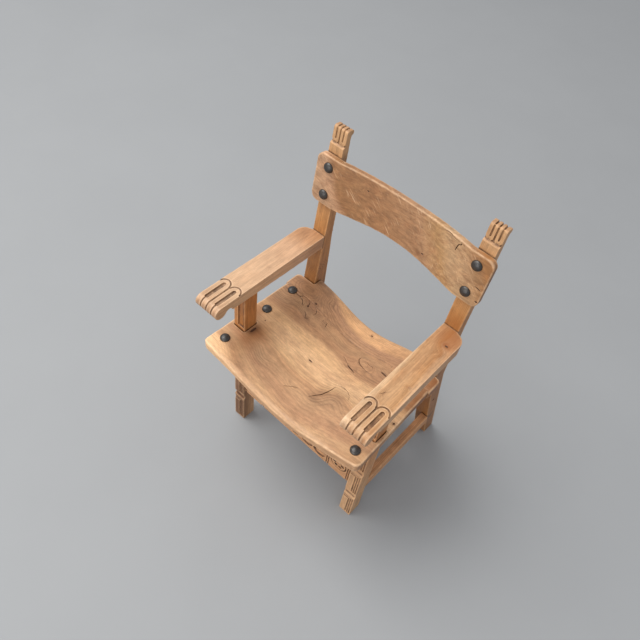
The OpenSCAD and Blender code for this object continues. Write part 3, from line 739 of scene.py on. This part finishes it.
        # Grooves and joints are darkened: dirt, and painted shade in these hollows.
        dirt_and_shade_mask = tree.math("MAXIMUM", tree.span(relief, -0.07, -self.dirt_and_shade_reach),
                           tree.span(tree.attribute("joint_dirt_and_shade"), 0.1, 0.9))
        normal = tree.add("NewGeometry").outputs["Normal"]
        end = tree.math("ABSOLUTE", tree.vector("DOT_PRODUCT", normal, self.grain.along))
        tone = tree.blend(tree.span(end, 0.6, 0.95, 0, 0.4), tone, self.blotch, "MULTIPLY")
        # Ridges are made pale: rubbed wear, and a painted highlight along the edges.
        tone = tree.blend(tree.product(tree.span(relief, 0.12, 0.8), uneven, self.rub), tone,
                          self.pale)
        return tree.blend(tree.product(dirt_and_shade_mask, uneven, self.dirt_and_shade_share), tone, self.dirt_and_shade)


@dataclass(frozen=True)
class DarkFinish:
    """The inside of cracks and knots, darkened with dirt and with painted shade."""

    name: str = "crack_dirt_and_shade"
    tones: tuple[str, str] = ("#3A2416", "#6A452C")

    def build(self) -> Material:
        """Makes the material."""
        material, tree = new_material(self.name)
        grit = tree.noise(tree.place(), 2 * MM, 4, 0.65)
        tone = tree.ramp(grit, list(zip((0.35, 0.7), self.tones)))
        tree.finish(tone, tree.span(grit, 0.3, 0.8, 0.75, 0.95), grit, 0.3, 0.8)
        return material


@dataclass(frozen=True)
class IronFinish:
    """Old iron with a dark skin that is rubbed in patches."""

    name: str = "bolt_iron"
    skin: str = "#231F1D"
    bare: str = "#5C564F"
    rust: str = "#4A2E1E"
    rubbed: float = 0.3805  # how bare the patches are
    rough: float = 0.42

    def build(self) -> Material:
        """Makes the material."""
        material, tree = new_material(self.name)
        pits = tree.noise(tree.place(), 1.6 * MM, 5, 0.65)
        patches = tree.noise(tree.place(), 7 * MM)
        bare = tree.product(tree.span(patches, 0.45, 0.7), self.rubbed)
        tone = tree.blend(tree.span(pits, 0.55, 0.8, 0, 0.6), colour(self.skin), self.rust)
        tree.finish(tree.blend(bare, tone, self.bare), tree.line(pits, 0.3, self.rough - 0.12),
                    pits, 0.25, 0.6, Metallic=tree.span(bare, 0, 0.8, 0.35, 0.9), IOR=1.9)
        return material


# --- The chair's sub-assemblies ---


def knots(*rows: tuple) -> tuple[Knot, ...]:
    """Makes knots from rows with a centre, radii, the lift, the darkening (stains, and a painted
    shadow on the left front leg) and the warm stain.
    """
    return tuple(Knot(*row) for row in rows)


def marks_on(face: Face, cracks: Sequence[tuple], pits: Sequence[tuple]) -> tuple[Mark, ...]:
    """Makes the marks on one side of a piece.

    Args:
        face: The side.
        cracks: For each crack its points, width, depth and, if need be, the ends' width.
        pits: For each pit its place, size and depth.

    Returns:
        The cracks, and then the pits.
    """
    return (*(Crack(face, *row) for row in cracks), *(Pit(face, *row) for row in pits))


@dataclass
class WoodPart:
    """One wooden piece, made from a copy of its CAD node."""

    node: str
    slot: str
    finish: Material
    lining: Material
    wear: Wear
    marks: tuple[Mark, ...] = ()

    def build(self) -> None:
        """Builds, wears, marks and dresses the piece."""
        obj = copy_node(self.node, self.node + "_worn")
        self.prepare(obj)
        self.wear.apply_to(obj, self.node)
        self.close(obj)
        obj.data.materials.append(self.finish)
        for mark in self.marks:
            cut_away(obj, mark, self.lining)
        hand_over(obj, self.node)

    def prepare(self, obj: Object) -> None:
        """Changes the copy before it is remeshed. Most pieces need nothing."""

    def close(self, obj: Object) -> None:
        """Trims the piece after it is worn. Most pieces need nothing."""


@dataclass
class SeatBoard(WoodPart):
    """A seat board whose jointed edge stays sharp: it is lengthened before it is worn, then cut."""

    joint: float = 192.0  # the joint's distance behind the front posts' faces
    gap: float = 0.5
    spare: float = 22.0  # how much longer the board is while it is worn
    near: float = 0.4  # how far from its edge a vertex still belongs to it
    behind: bool = False  # whether the board lies behind the joint

    def __post_init__(self) -> None:
        """Finds the way out over the jointed edge, 1 or -1 along Y, and a point on the edge."""
        self.way = -1 if self.behind else 1
        self.edge = to_row(0, self.joint - self.way * self.gap / 2, 0)

    def prepare(self, obj: Object) -> None:
        """Moves the jointed edge past its place."""
        for vertex in obj.data.vertices:
            if abs(vertex.co.y - self.edge.y) < self.near * MM:
                vertex.co.y += self.way * self.spare * MM

    def close(self, obj: Object) -> None:
        """Cuts the board off at its jointed edge."""
        with editing(obj):
            bpy.ops.mesh.bisect(plane_co=self.edge, plane_no=(0, 1, 0), use_fill=True,
                                clear_inner=self.behind, clear_outer=not self.behind)


# The seat boards' high rub gives their edges a pale line that is partly wear and partly painted
# highlight.
SEAT_WOOD = partial(WoodFinish, grain=Grain.X, pith=(-190, 372), band_axis=(0, 1, 0),
                    mottle=0.12, pale="#F0CBA2", rub=0.5)
ARM_WOOD = partial(WoodFinish, grain=Grain.Y, ring=4.2, warp=7, warp_size=60, blotch_size=36,
                   pale="#DEBC98", rough=0.47)
POST_WOOD = partial(WoodFinish, grain=Grain.Z, band_axis=(0, 0, 1), ring=3.0, ring_depth=0.24,
                    warp=5, warp_size=70, blotch="#87502A", blotch_share=0.4)

# The seat's knots, and the cracks and pits in its top.
FRONT_KNOTS = knots(
    ((30, -96, 425), (150, 84, 90), 46), ((-108, -16, 420), (26, 22, 60), 12, 0.05),
    ((88, 28, 400), (48, 36, 70), -24, 0.26), ((105, 62, 400), (70, 62, 80), 0, 0.2),
    ((48, 10, 400), (24, 44, 60), 9, 0.34), ((68, 158, 400), (34, 17, 60), -36),
    ((122, 158, 410), (16, 6, 60), 6, 0.4), ((-31, 69, 400), (9, 5, 50), 6, 0.4),
    ((-130, 176, 415), (26, 18, 60), 18, 0.2), ((-165, 160, 420), (26, 22, 60), -14, 0.14),
    ((-120, 148, 410), (12, 9, 60), 4, 0.4), ((-205, 160, 425), (40, 30, 60), 14, 0.1),
    ((-3, 170, 390), (24, 15, 60), 9, 0.16), ((54, 123, 390), (22, 4, 60), 4, 0.45),
    ((-80, 176, 400), (12, 10, 60), 5, 0.24), ((110, 122, 390), (52, 20, 60), 10),
    ((-225, -64, 420), (66, 50, 80), -34), ((-178, 20, 430), (16, 26, 60), 0, 0.7),
    ((-168, 14, 425), (42, 78, 80), 0, 0, 0.55), ((-214, 72, 420), (30, 48, 60), 0, 0.12, 0.6),
    ((-14, -14, 410), (18, 9, 60), 6, 0.1), ((-28, 132, 395), (76, 34, 60), -19),
    ((226, 66, 420), (10, 8, 60), 5, 0.5), ((-232, 86, 420), (20, 44, 60), 0, 0.2),
    ((234, 152, 420), (38, 60, 60), 0, 0.34, 0.75), ((56, -7, 425), (50, 14, 60), 0, 0.34))
REAR_KNOTS = knots(
    ((-175, 235, 410), (86, 44, 70), -80, 0.06), ((21, 246, 395), (10, 6, 50), 6, 0.35),
    ((-133, 198, 410), (9, 6, 50), 9, 0.5), ((-110, 225, 400), (30, 14, 60), 16, 0.14),
    ((112, 226, 400), (72, 46, 60), 0, 0.3), ((215, 240, 420), (60, 50, 60), -60),
    ((234, 220, 420), (40, 40, 60), 0, 0.22, 0.6))
FRONT_CRACKS = (
    (((63, 56), (62, 43), (58, 28), (53, 15), (44, 3), (36, -9)), 1.9, 4.5),
    (((-191, 182.5), (-182, 182), (-174, 181)), 1.4, 3.0, 0.6),
    (((-174, 181), (-174.5, 184), (-171.5, 187), (-173, 190.6)), 1.6, 2.5, 0.5),
    (((-174, 181), (-168, 179), (-162, 178), (-159, 174), (-156, 170), (-152, 169),
      (-150, 173)), 1.4, 2.4, 0.4),
    (((-172, 189), (-165, 190.6)), 0.8, 1.2),
    (((-138, 160), (-133, 157), (-128, 154), (-125, 149), (-122, 145), (-118, 148),
      (-114, 155)), 1.4, 2.2),
    (((-147, 190), (-143, 183), (-141, 175)), 1.1, 1.6),
    (((-128, 189), (-118, 184), (-114, 176), (-116, 167)), 1.2, 1.8),
    (((-90, 181), (-88, 176)), 0.9, 1.3), (((-78, 182), (-76, 176), (-74, 170)), 1.0, 1.5),
    (((72, 176), (63, 174), (51, 170), (48, 164), (50, 158), (57, 151), (67, 146), (76, 143),
      (84, 141), (97, 139.5)), 1.5, 2.2, 0.3),
    (((68, 166), (78, 161), (88, 160), (95, 156)), 0.7, 1.1),
    (((116, 160.5), (124, 158), (134, 155.7)), 2.6, 3.0, 0.5),
    (((40, 127.5), (48, 124.5), (56, 122), (66, 118.5)), 2.2, 2.6, 0.5),
    (((14, 143), (26, 137), (40, 128)), 0.7, 1.0),
    (((58, 60), (72, 65), (90, 63), (104, 55), (112, 43)), 0.7, 1.0),
    (((-26, -30), (-12, -18), (2, -8)), 0.7, 1.0))
FRONT_PITS = (
    ((-31, 70), (12, 3.2), 1.3), ((-141, 176), (5, 6), 1.0), ((-180, 62), (4, 2.4), 0.9),
    ((150, -6), (9, 3), 0.8), ((-179, 20), (6, 20), 1.6), ((226, 66), (5, 6), 1.4))
REAR_PITS = (((21, 246), (8, 3), 0.8), ((-133, 198), (6, 5), 1.0))


@dataclass
class Seat:
    """The two boards of the seat."""

    lining: Material
    wear: Wear = Wear(voxel=1.9, rounds=7, keep=0.5, ripple=0.8, ripple_size=70)

    @staticmethod
    def front_finish() -> WoodFinish:
        """Wood of the front board: brown, a band of pale sapwood, a burl in front, and a pale front
        edge that is a painted highlight.
        """
        return SEAT_WOOD(
            name="seat_front_wood", stain="#62432E", burl=0.5, ring=6.0, ring_depth=0.12,
            warp=5, warp_size=75, blotch="#A07050", blotch_share=0.36, blotch_size=42,
            # The palest bands, at Y -100 to -84 on the front edge, are a painted highlight where
            # the rounded edge catches the light.
            bands=((-100, "#EDBF8E"), (-84, "#E6B788"), (-68, "#BE9169"), (-44, "#C59B72"),
                   (-22, "#B48864"), (2, "#BF956E"), (20, "#BE9169"), (34, "#D3A87B"),
                   (50, "#DEB386"), (78, "#DFB487"), (98, "#D5A97B"), (109, "#CFA377"),
                   (119, "#B0855F"), (132, "#AB7F5A"), (150, "#AC825D"), (172, "#AE845E"),
                   (196, "#AC7F5A")),
            knots=FRONT_KNOTS)

    @staticmethod
    def rear_finish() -> WoodFinish:
        """Wood of the rear board: brown at its left, pale tan to the right of that."""
        return SEAT_WOOD(
            name="seat_rear_wood", burl=0.3, ring=5.2, ring_depth=0.2, warp=6, warp_size=70,
            blotch="#986A48", blotch_share=0.28, blotch_size=46,
            bands=((150, "#A87B56"), (196, "#B0835E"), (213, "#B48764"), (226, "#DBA776"),
                   (300, "#DDAB7B")),
            knots=REAR_KNOTS)

    def build(self) -> None:
        """Builds both boards."""
        SeatBoard("seat_front_board", "board_wood", self.front_finish().build(), self.lining,
                  self.wear, marks_on(Face.TOP, FRONT_CRACKS, FRONT_PITS)).build()
        SeatBoard("seat_rear_board", "board_wood", self.rear_finish().build(), self.lining,
                  self.wear, marks_on(Face.TOP, (), REAR_PITS), behind=True).build()


@dataclass
class Back:
    """The back plank and the two posts that carry it."""

    lining: Material
    plank_wear: Wear = Wear(voxel=1.5, rounds=8, keep=0.5, ripple=0.8, ripple_size=50)
    post_wear: Wear = Wear(voxel=0.9, rounds=4, keep=0.25, ripple=0.5, ripple_size=60)
    bend_z: float = 397.0  # where the posts bend, under the seat
    lean: float = 4.9  # degrees, above the bend
    rake: float = 16.2  # degrees, below it

    @staticmethod
    def plank_finish() -> WoodFinish:
        """Mottled burl with pale streaks, greyer and paler to the right."""
        return WoodFinish(
            name="plank_wood", grain=Grain.X, pith=(150, 700), band_axis=(1, 0, 0.5), ring=4.0,
            ring_depth=0.1, warp=12, warp_size=38, blotch="#875839", blotch_share=0.5,
            blotch_size=15, mottle=0.2, burl=1.0, scuff=0.5, pale="#E0BA94", rub=0.42,
            bands=((125, "#B58F6E"), (190, "#C09471"), (215, "#A1744C"), (330, "#A67953"),
                   (430, "#AC8360"), (490, "#B48B5E"), (520, "#BE9972"), (560, "#B48D67"),
                   (610, "#A17043")),
            knots=knots(
                ((-80, 280, 760), (36, 60, 30), 16, 0.12), ((10, 290, 720), (30, 60, 24), 14, 0.15),
                ((90, 285, 770), (40, 60, 26), 15, 0.12), ((150, 275, 730), (26, 60, 22), 12, 0.2),
                ((-150, 270, 730), (30, 60, 26), 12, 0.1), ((60, 285, 705), (18, 60, 12), 9, 0.25)))

    def post_finish(self) -> WoodFinish:
        """Straight, orange-brown wood that follows the posts' bend."""
        slopes = (math.tan(math.radians(angle)) for angle in (self.lean, self.rake))
        return POST_WOOD(
            name="back_post_wood", pith=(60, 330), blotch_size=40, pale="#DDAE7E", rub=0.35,
            bands=((0, "#A46F3C"), (300, "#9C6638"), (460, "#AB7442"), (620, "#B9834E"),
                   (720, "#C28E5D"), (790, "#BE9063"), (870, "#C59A6F")),
            knots=knots(
                ((205, 245, 598), (40, 80, 48), 0, 0.12, 0.55),
                ((225, 249, 425), (40, 7, 8), 8, 0.5), ((-190, 250, 470), (40, 30, 16), 10, 0.14)),
            lean=(self.bend_z, *slopes))

    def build(self) -> None:
        """Builds the plank and the posts."""
        marks = marks_on(
            Face.FRONT,
            ((((148, 804), (150, 799), (144, 794), (142, 785), (141, 777)), 2.0, 4, 0.5),
             (((104, 801), (116, 803), (130, 801), (143, 800)), 1.0, 1.6),
             (((211, 734), (219, 733), (227, 730)), 1.6, 3, 0.4)),
            (((228, 701), (7, 3.5), 1.1), ((-94, 773), (6, 3.5), 1.0), ((72, 709), (7, 3), 1.0)))
        WoodPart("back_plank", "board_wood", self.plank_finish().build(), self.lining,
                 self.plank_wear, marks).build()
        wood = self.post_finish().build()
        hole = Pit(Face.RIGHT, (300, 250), (8, 10), 5)
        for side, marks in zip(SIDES, ((), (hole,))):
            WoodPart(f"back_post_{side}", "frame_wood", wood, self.lining, self.post_wear,
                     marks).build()


@dataclass
class Arms:
    """The two arms with their carved, rolled ends."""

    lining: Material
    wear: Wear = Wear(voxel=0.85, rounds=4, keep=0.3, ripple=0.6, ripple_size=50)

    @staticmethod
    def left_finish() -> WoodFinish:
        """Pale wood that hands have polished, a little browner at its rear."""
        return ARM_WOOD(
            name="arm_left_wood", pith=(-330, 500), band_axis=(0, 1, 0), ring_depth=0.06,
            blotch="#A06C44", blotch_share=0.18, mottle=0.06,
            bands=((-90, "#BC9471"), (-30, "#C5A07D"), (60, "#CCA683"), (170, "#C89E7B"),
                   (215, "#B78861"), (265, "#AC7C55")),
            knots=knots(((-225, 225, 585), (22, 18, 40), 8, 0.12),
                        ((-200, 84, 585), (10, 6, 40), 6, 0.1)))

    @staticmethod
    def right_finish() -> WoodFinish:
        """Tan wood with pale sapwood along its inner edge and an orange, knotty rear."""
        return ARM_WOOD(
            name="arm_right_wood", pith=(120, 500), band_axis=(1, 0.06, 0), ring_depth=0.12,
            blotch="#9A6238", blotch_share=0.4, mottle=0.12, stain="#8A5028",
            bands=((172, "#D4B18C"), (190, "#D2AB82"), (197, "#BA8E64"), (215, "#C0956B"),
                   (236, "#BA8A5C"), (244, "#CEA57D"), (262, "#C2976F")),
            knots=knots(
                ((223, 205, 585), (16, 10, 40), 14, 0.5), ((228, 62, 585), (9, 5, 40), 8, 0.35),
                ((220, 230, 585), (46, 60, 60), 10, 0.42, 0.62),
                ((225, 178, 585), (12, 12, 40), -9, 0.12), ((200, 14, 585), (8, 12, 40), 7, 0.14)))

    def build(self) -> None:
        """Builds both arms."""
        right_marks = marks_on(Face.TOP, ((((196, 8), (200, 13), (202, 20)), 0.8, 1.0),),
                               (((223, 205), (8, 4), 0.8),))
        for side, finish, marks in zip(SIDES, (self.left_finish(), self.right_finish()),
                                       ((), right_marks)):
            WoodPart(f"arm_{side}", "arm_wood", finish.build(), self.lining, self.wear,
                     marks).build()


@dataclass
class FrontPosts:
    """The front posts, which are legs and arm supports in one."""

    lining: Material
    wear: Wear = Wear(voxel=0.85, rounds=3, keep=0.3, ripple=0.4, ripple_size=50)

    @staticmethod
    def finish() -> WoodFinish:
        """Straight, orange-brown wood, paler low down on the right leg, and dark on the left leg
        with painted shadow.
        """
        return POST_WOOD(
            name="front_post_wood", pith=(70, -60), blotch_size=38, pale="#DDB488",
            # The dark stain tone here colours the painted shadow on the left leg.
            stain="#4E2A14", rough=0.52,
            bands=((0, "#CEA177"), (200, "#CA9A6E"), (330, "#C88D5A"), (450, "#BE7E45"),
                   (560, "#B4743C")),
            # This large dark knot on the left leg is a painted shadow under the seat's overhang.
            knots=knots(((-207, -12, 60), (80, 48, 300), 0, 0.96, 0.3)))

    def build(self) -> None:
        """Builds both posts."""
        wood = self.finish().build()
        for side in SIDES:
            WoodPart(f"front_post_{side}", "frame_wood", wood, self.lining, self.wear).build()


@dataclass
class LowerFrame:
    """The rails under the seat and the stretchers between the legs."""

    lining: Material
    carved: Wear = Wear(voxel=0.85, rounds=2, keep=0.35, ripple=0.3, ripple_size=40)
    plain: Wear = Wear(voxel=1.6, rounds=4, keep=0.3, ripple=0.5, ripple_size=50)

    @staticmethod
    def finish(name: str, grain: Grain, pith: Place) -> WoodFinish:
        """Plain frame wood, pale low down, and darker towards the top with painted shade under the
        seat, and dark grooves with dirt and painted shade.
        """
        return WoodFinish(
            name=name, grain=grain, pith=pith, band_axis=(0, 0, 1), ring=3.2, ring_depth=0.22,
            warp=6, warp_size=60, blotch="#804C28", blotch_share=0.45, blotch_size=36,
            # The dark top bands, at Z 260 to 400, are painted shade under the seat; the strong
            # groove colour is dirt and painted shade in the carving.
            pale="#D8AA7C", dirt_and_shade="#331E12", dirt_and_shade_share=0.92, dirt_and_shade_reach=0.28, rough=0.55,
            bands=((100, "#CB9263"), (200, "#CE976A"), (260, "#9E6536"), (400, "#6C3F1A")))

    def build(self) -> None:
        """Builds the rails and stretchers, and dresses the dowels."""
        across = self.finish("cross_wood", Grain.X, (60, 120)).build()
        deep = self.finish("side_wood", Grain.Y, (150, 60)).build()
        rows = [("front_stretcher", across, self.carved), ("rear_stretcher", across, self.plain)]
        rows += [(node + side, deep, self.plain) for side in SIDES
                 for node in ("seat_rail_", "side_stretcher_")]
        for node, wood, wear in rows:
            WoodPart(node, "frame_wood", wood, self.lining, wear).build()
        dress(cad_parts["seat_dowels"].data, across)


@dataclass
class Ironwork:
    """The forged bolts with their washers and nuts."""

    head_d: float = 25.0
    head_h: float = 8.0
    shank_d: float = 8.0
    flats: int = 11  # hammer marks on a head
    flat_turn: float = 2.4  # radians from each to the next, which spreads them over the head
    turn: float = 1.9  # radians that each bolt is turned on from the last one
    seat_z: float = 425.0
    seat_rows: tuple[tuple[str, float, float, float], ...] = (  # name, X, Y and length
        ("front", 207.0, -46.0, 64.7), ("middle", 203.0, 90.0, 84.5), ("rear", 203.0, 182.0, 84.5))
    back_rows: tuple[tuple[str, float], ...] = (("lower", 27.0), ("upper", 99.0))
    back_x: float = 197.5
    back_face: Place = (264.35, 681.0)  # Y and Z of the plank's lower rear edge
    back_length: float = 43.5
    plank_t: float = 16.0
    lean: float = 4.9  # degrees

    def _bolt(self, length: float) -> Object:
        """Models one bolt, head up, whose head rests at Z = 0 and is some length long below."""
        radius = self.head_d / 2
        bolt = add_object(bpy.ops.mesh.primitive_uv_sphere_add, segments=40, ring_count=20,
                          radius=radius * MM)
        bolt.scale = (1, 1, self.head_h / radius)
        bpy.ops.object.transform_apply(scale=True)
        with editing(bolt):
            bpy.ops.mesh.bisect(plane_co=(0, 0, 0), plane_no=(0, 0, 1), use_fill=True,
                                clear_inner=True)
        for i in range(self.flats):
            tilt = math.radians(12 + 46 * i / self.flats)
            normal = Matrix.Rotation(i * self.flat_turn, 3, "Z") @ Vector(
                (math.sin(tilt), 0, math.cos(tilt)))
            reach = math.hypot(radius * math.sin(tilt), self.head_h * math.cos(tilt))
            depth = 0.22 + 0.12 * (i % 3)
            with editing(bolt):
                bpy.ops.mesh.bisect(plane_co=normal * (reach - depth) * MM, plane_no=normal,
                                    use_fill=True, clear_outer=True)
        apply_modifier(bolt, "BEVEL", width=0.5 * MM, segments=2, limit_method="ANGLE",
                       angle_limit=math.radians(12))
        self._add_shank(bolt, length)
        bolt.data.validate()  # drops two faces that the flats' cuts leave doubled
        pick(bolt)
        bpy.ops.object.shade_smooth_by_angle(angle=math.radians(35))
        return bolt

    def _add_shank(self, bolt: Object, length: float) -> None:
        """Adds a shank with a chamfered end under a bolt's head."""
        sunk = 0.5  # how far the shank reaches into the head
        shank = add_object(bpy.ops.mesh.primitive_circle_add, vertices=24,
                           radius=self.shank_d / 2 * MM, fill_type="NGON",
                           location=(0, 0, sunk * MM))
        with editing(shank):
            for step in (length - sunk, 1):
                bpy.ops.mesh.extrude_region_move(
                    TRANSFORM_OT_translate={"value": (0, 0, -step * MM)})
            bpy.ops.transform.resize(value=(0.75, 0.75, 1),
                                     center_override=(0, 0, -(length + 0.5) * MM))
            turn_outward()
        bpy.ops.object.transform_apply(location=True)
        bolt.select_set(True)
        bpy.context.view_layer.objects.active = bolt
        bpy.ops.object.join()

    def _rows(self) -> Iterator[tuple[str, str, float, list[Matrix]]]:
        """Yields each row's CAD node, its name, the bolts' length and their two places."""
        for row, x, y, length in self.seat_rows:
            yield "seat_bolts", row, length, [
                Matrix.Translation(to_row(side * x, y, self.seat_z)) for side in (-1, 1)]
        edge = (Matrix.Translation(to_row(0, *self.back_face))
                @ Matrix.Rotation(-math.radians(self.lean), 4, "X"))
        for row, rise in self.back_rows:
            yield "back_bolts", row, self.back_length, [
                edge @ Matrix.Translation(Vector((side * self.back_x, -self.plank_t, rise)) * MM)
                @ Matrix.Rotation(math.pi / 2, 4, "X") for side in (-1, 1)]

    def build(self) -> None:
        """Builds the bolts and dresses the washers and nuts."""
        iron = IronFinish().build()
        turn = 0.0
        for node, row, length, places in self._rows():
            bolt = self._bolt(length)
            for side, place in zip(SIDES, places):
                turn += self.turn
                name = f"{node.removesuffix('s')}_{row}_{side}"
                copy = bpy.data.objects.new(name, bolt.data.copy())
                bpy.context.collection.objects.link(copy)
                copy.data.transform(place @ Matrix.Rotation(turn, 4, "Z"))
                dress(copy.data, iron)
                hand_over(copy, node)
            bpy.data.objects.remove(bolt, do_unlink=True)
        for node in ("seat_washers", "seat_nuts", "back_washers", "back_nuts"):
            dress(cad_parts[node].data, iron)
            LOG.info("%s: dressed", node)


@dataclass
class Studio:
    """Floor, lights and camera. Lengths are in metres, but for the lens."""

    lens: float = 35.2  # millimetres, on the sensor
    sensor: float = 36.0  # millimetres
    azimuth: float = 35.42  # degrees, as are the next two
    elevation: float = 51.25
    roll: float = 9.14
    eye: Point = (0.4789, -0.78516, 1.64351)
    sky: float = 0.62
    sky_tone: str = "#FBFCFF"
    lamp_tone: tuple[float, float, float] = (1.0, 0.985, 0.96)
    floor_tone: str = "#949698"
    cloud_tone: str = "#828486"
    half_floor: float = 9.0

    def build(self) -> None:
        """Builds all of it."""
        self._floor()
        self._sky()
        self._lamp("key", (-2.5, -1.2, 5.8), 4.6, 360.0)
        self._lamp("fill", (0.6, -5.0, 1.9), 4.0, 115.0)
        self._camera()

    def _floor(self) -> None:
        """Lays a plain pale floor with a hint of unevenness in its tone."""
        floor = add_object(bpy.ops.mesh.primitive_plane_add, size=2 * self.half_floor)
        floor.name = "floor"
        material, tree = new_material("floor")
        cloud = tree.span(tree.noise(tree.place(), 0.5, 5, 0.6), 0.3, 0.7, 0, 0.12)
        tree.finish(tree.blend(cloud, colour(self.floor_tone), self.cloud_tone), 0.7)
        floor.data.materials.append(material)

    def _sky(self) -> None:
        """Lights the scene softly from all round."""
        world = bpy.data.worlds.new("studio")
        bpy.context.scene.world = world
        world.use_nodes = True
        backdrop = world.node_tree.nodes["Background"]
        backdrop.inputs["Color"].default_value = colour(self.sky_tone)
        backdrop.inputs["Strength"].default_value = self.sky

    def _lamp(self, name: str, place: Point, size: float, power: float) -> None:
        """Hangs a round lamp that looks at the chair. Its power is in watts."""
        lamp = add_object(bpy.ops.object.light_add, type="AREA", location=place)
        lamp.name = name
        lamp.data.shape = "DISK"
        lamp.data.size = size
        lamp.data.energy = power
        lamp.data.color = self.lamp_tone
        aim = Vector((0, 0, 0.3)) - lamp.location
        lamp.rotation_euler = aim.to_track_quat("-Z", "Y").to_euler()

    def _camera(self) -> None:
        """Puts the camera where the photograph's camera stood."""
        data = bpy.data.cameras.new("camera")
        data.sensor_width = self.sensor
        data.lens = self.lens
        data.clip_start = 0.05
        data.clip_end = 100
        camera = bpy.data.objects.new("camera", data)
        bpy.context.collection.objects.link(camera)
        place = Matrix.Translation(self.eye)
        for angle, axis in ((self.azimuth, "Z"), (90 - self.elevation, "X"), (self.roll, "Z")):
            place @= Matrix.Rotation(math.radians(angle), 4, axis)
        camera.matrix_world = place
        bpy.context.scene.camera = camera
        bpy.context.scene.view_settings.view_transform = "Standard"


def main() -> None:
    """Builds the chair's looks and the studio round it."""
    logging.basicConfig(level=logging.INFO, format="%(name)s: %(message)s")
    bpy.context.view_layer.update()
    lining = DarkFinish().build()
    for assembly in (Seat, Back, Arms, FrontPosts, LowerFrame):
        assembly(lining).build()
    Ironwork().build()
    Studio().build()


if __name__ == "__main__":
    main()
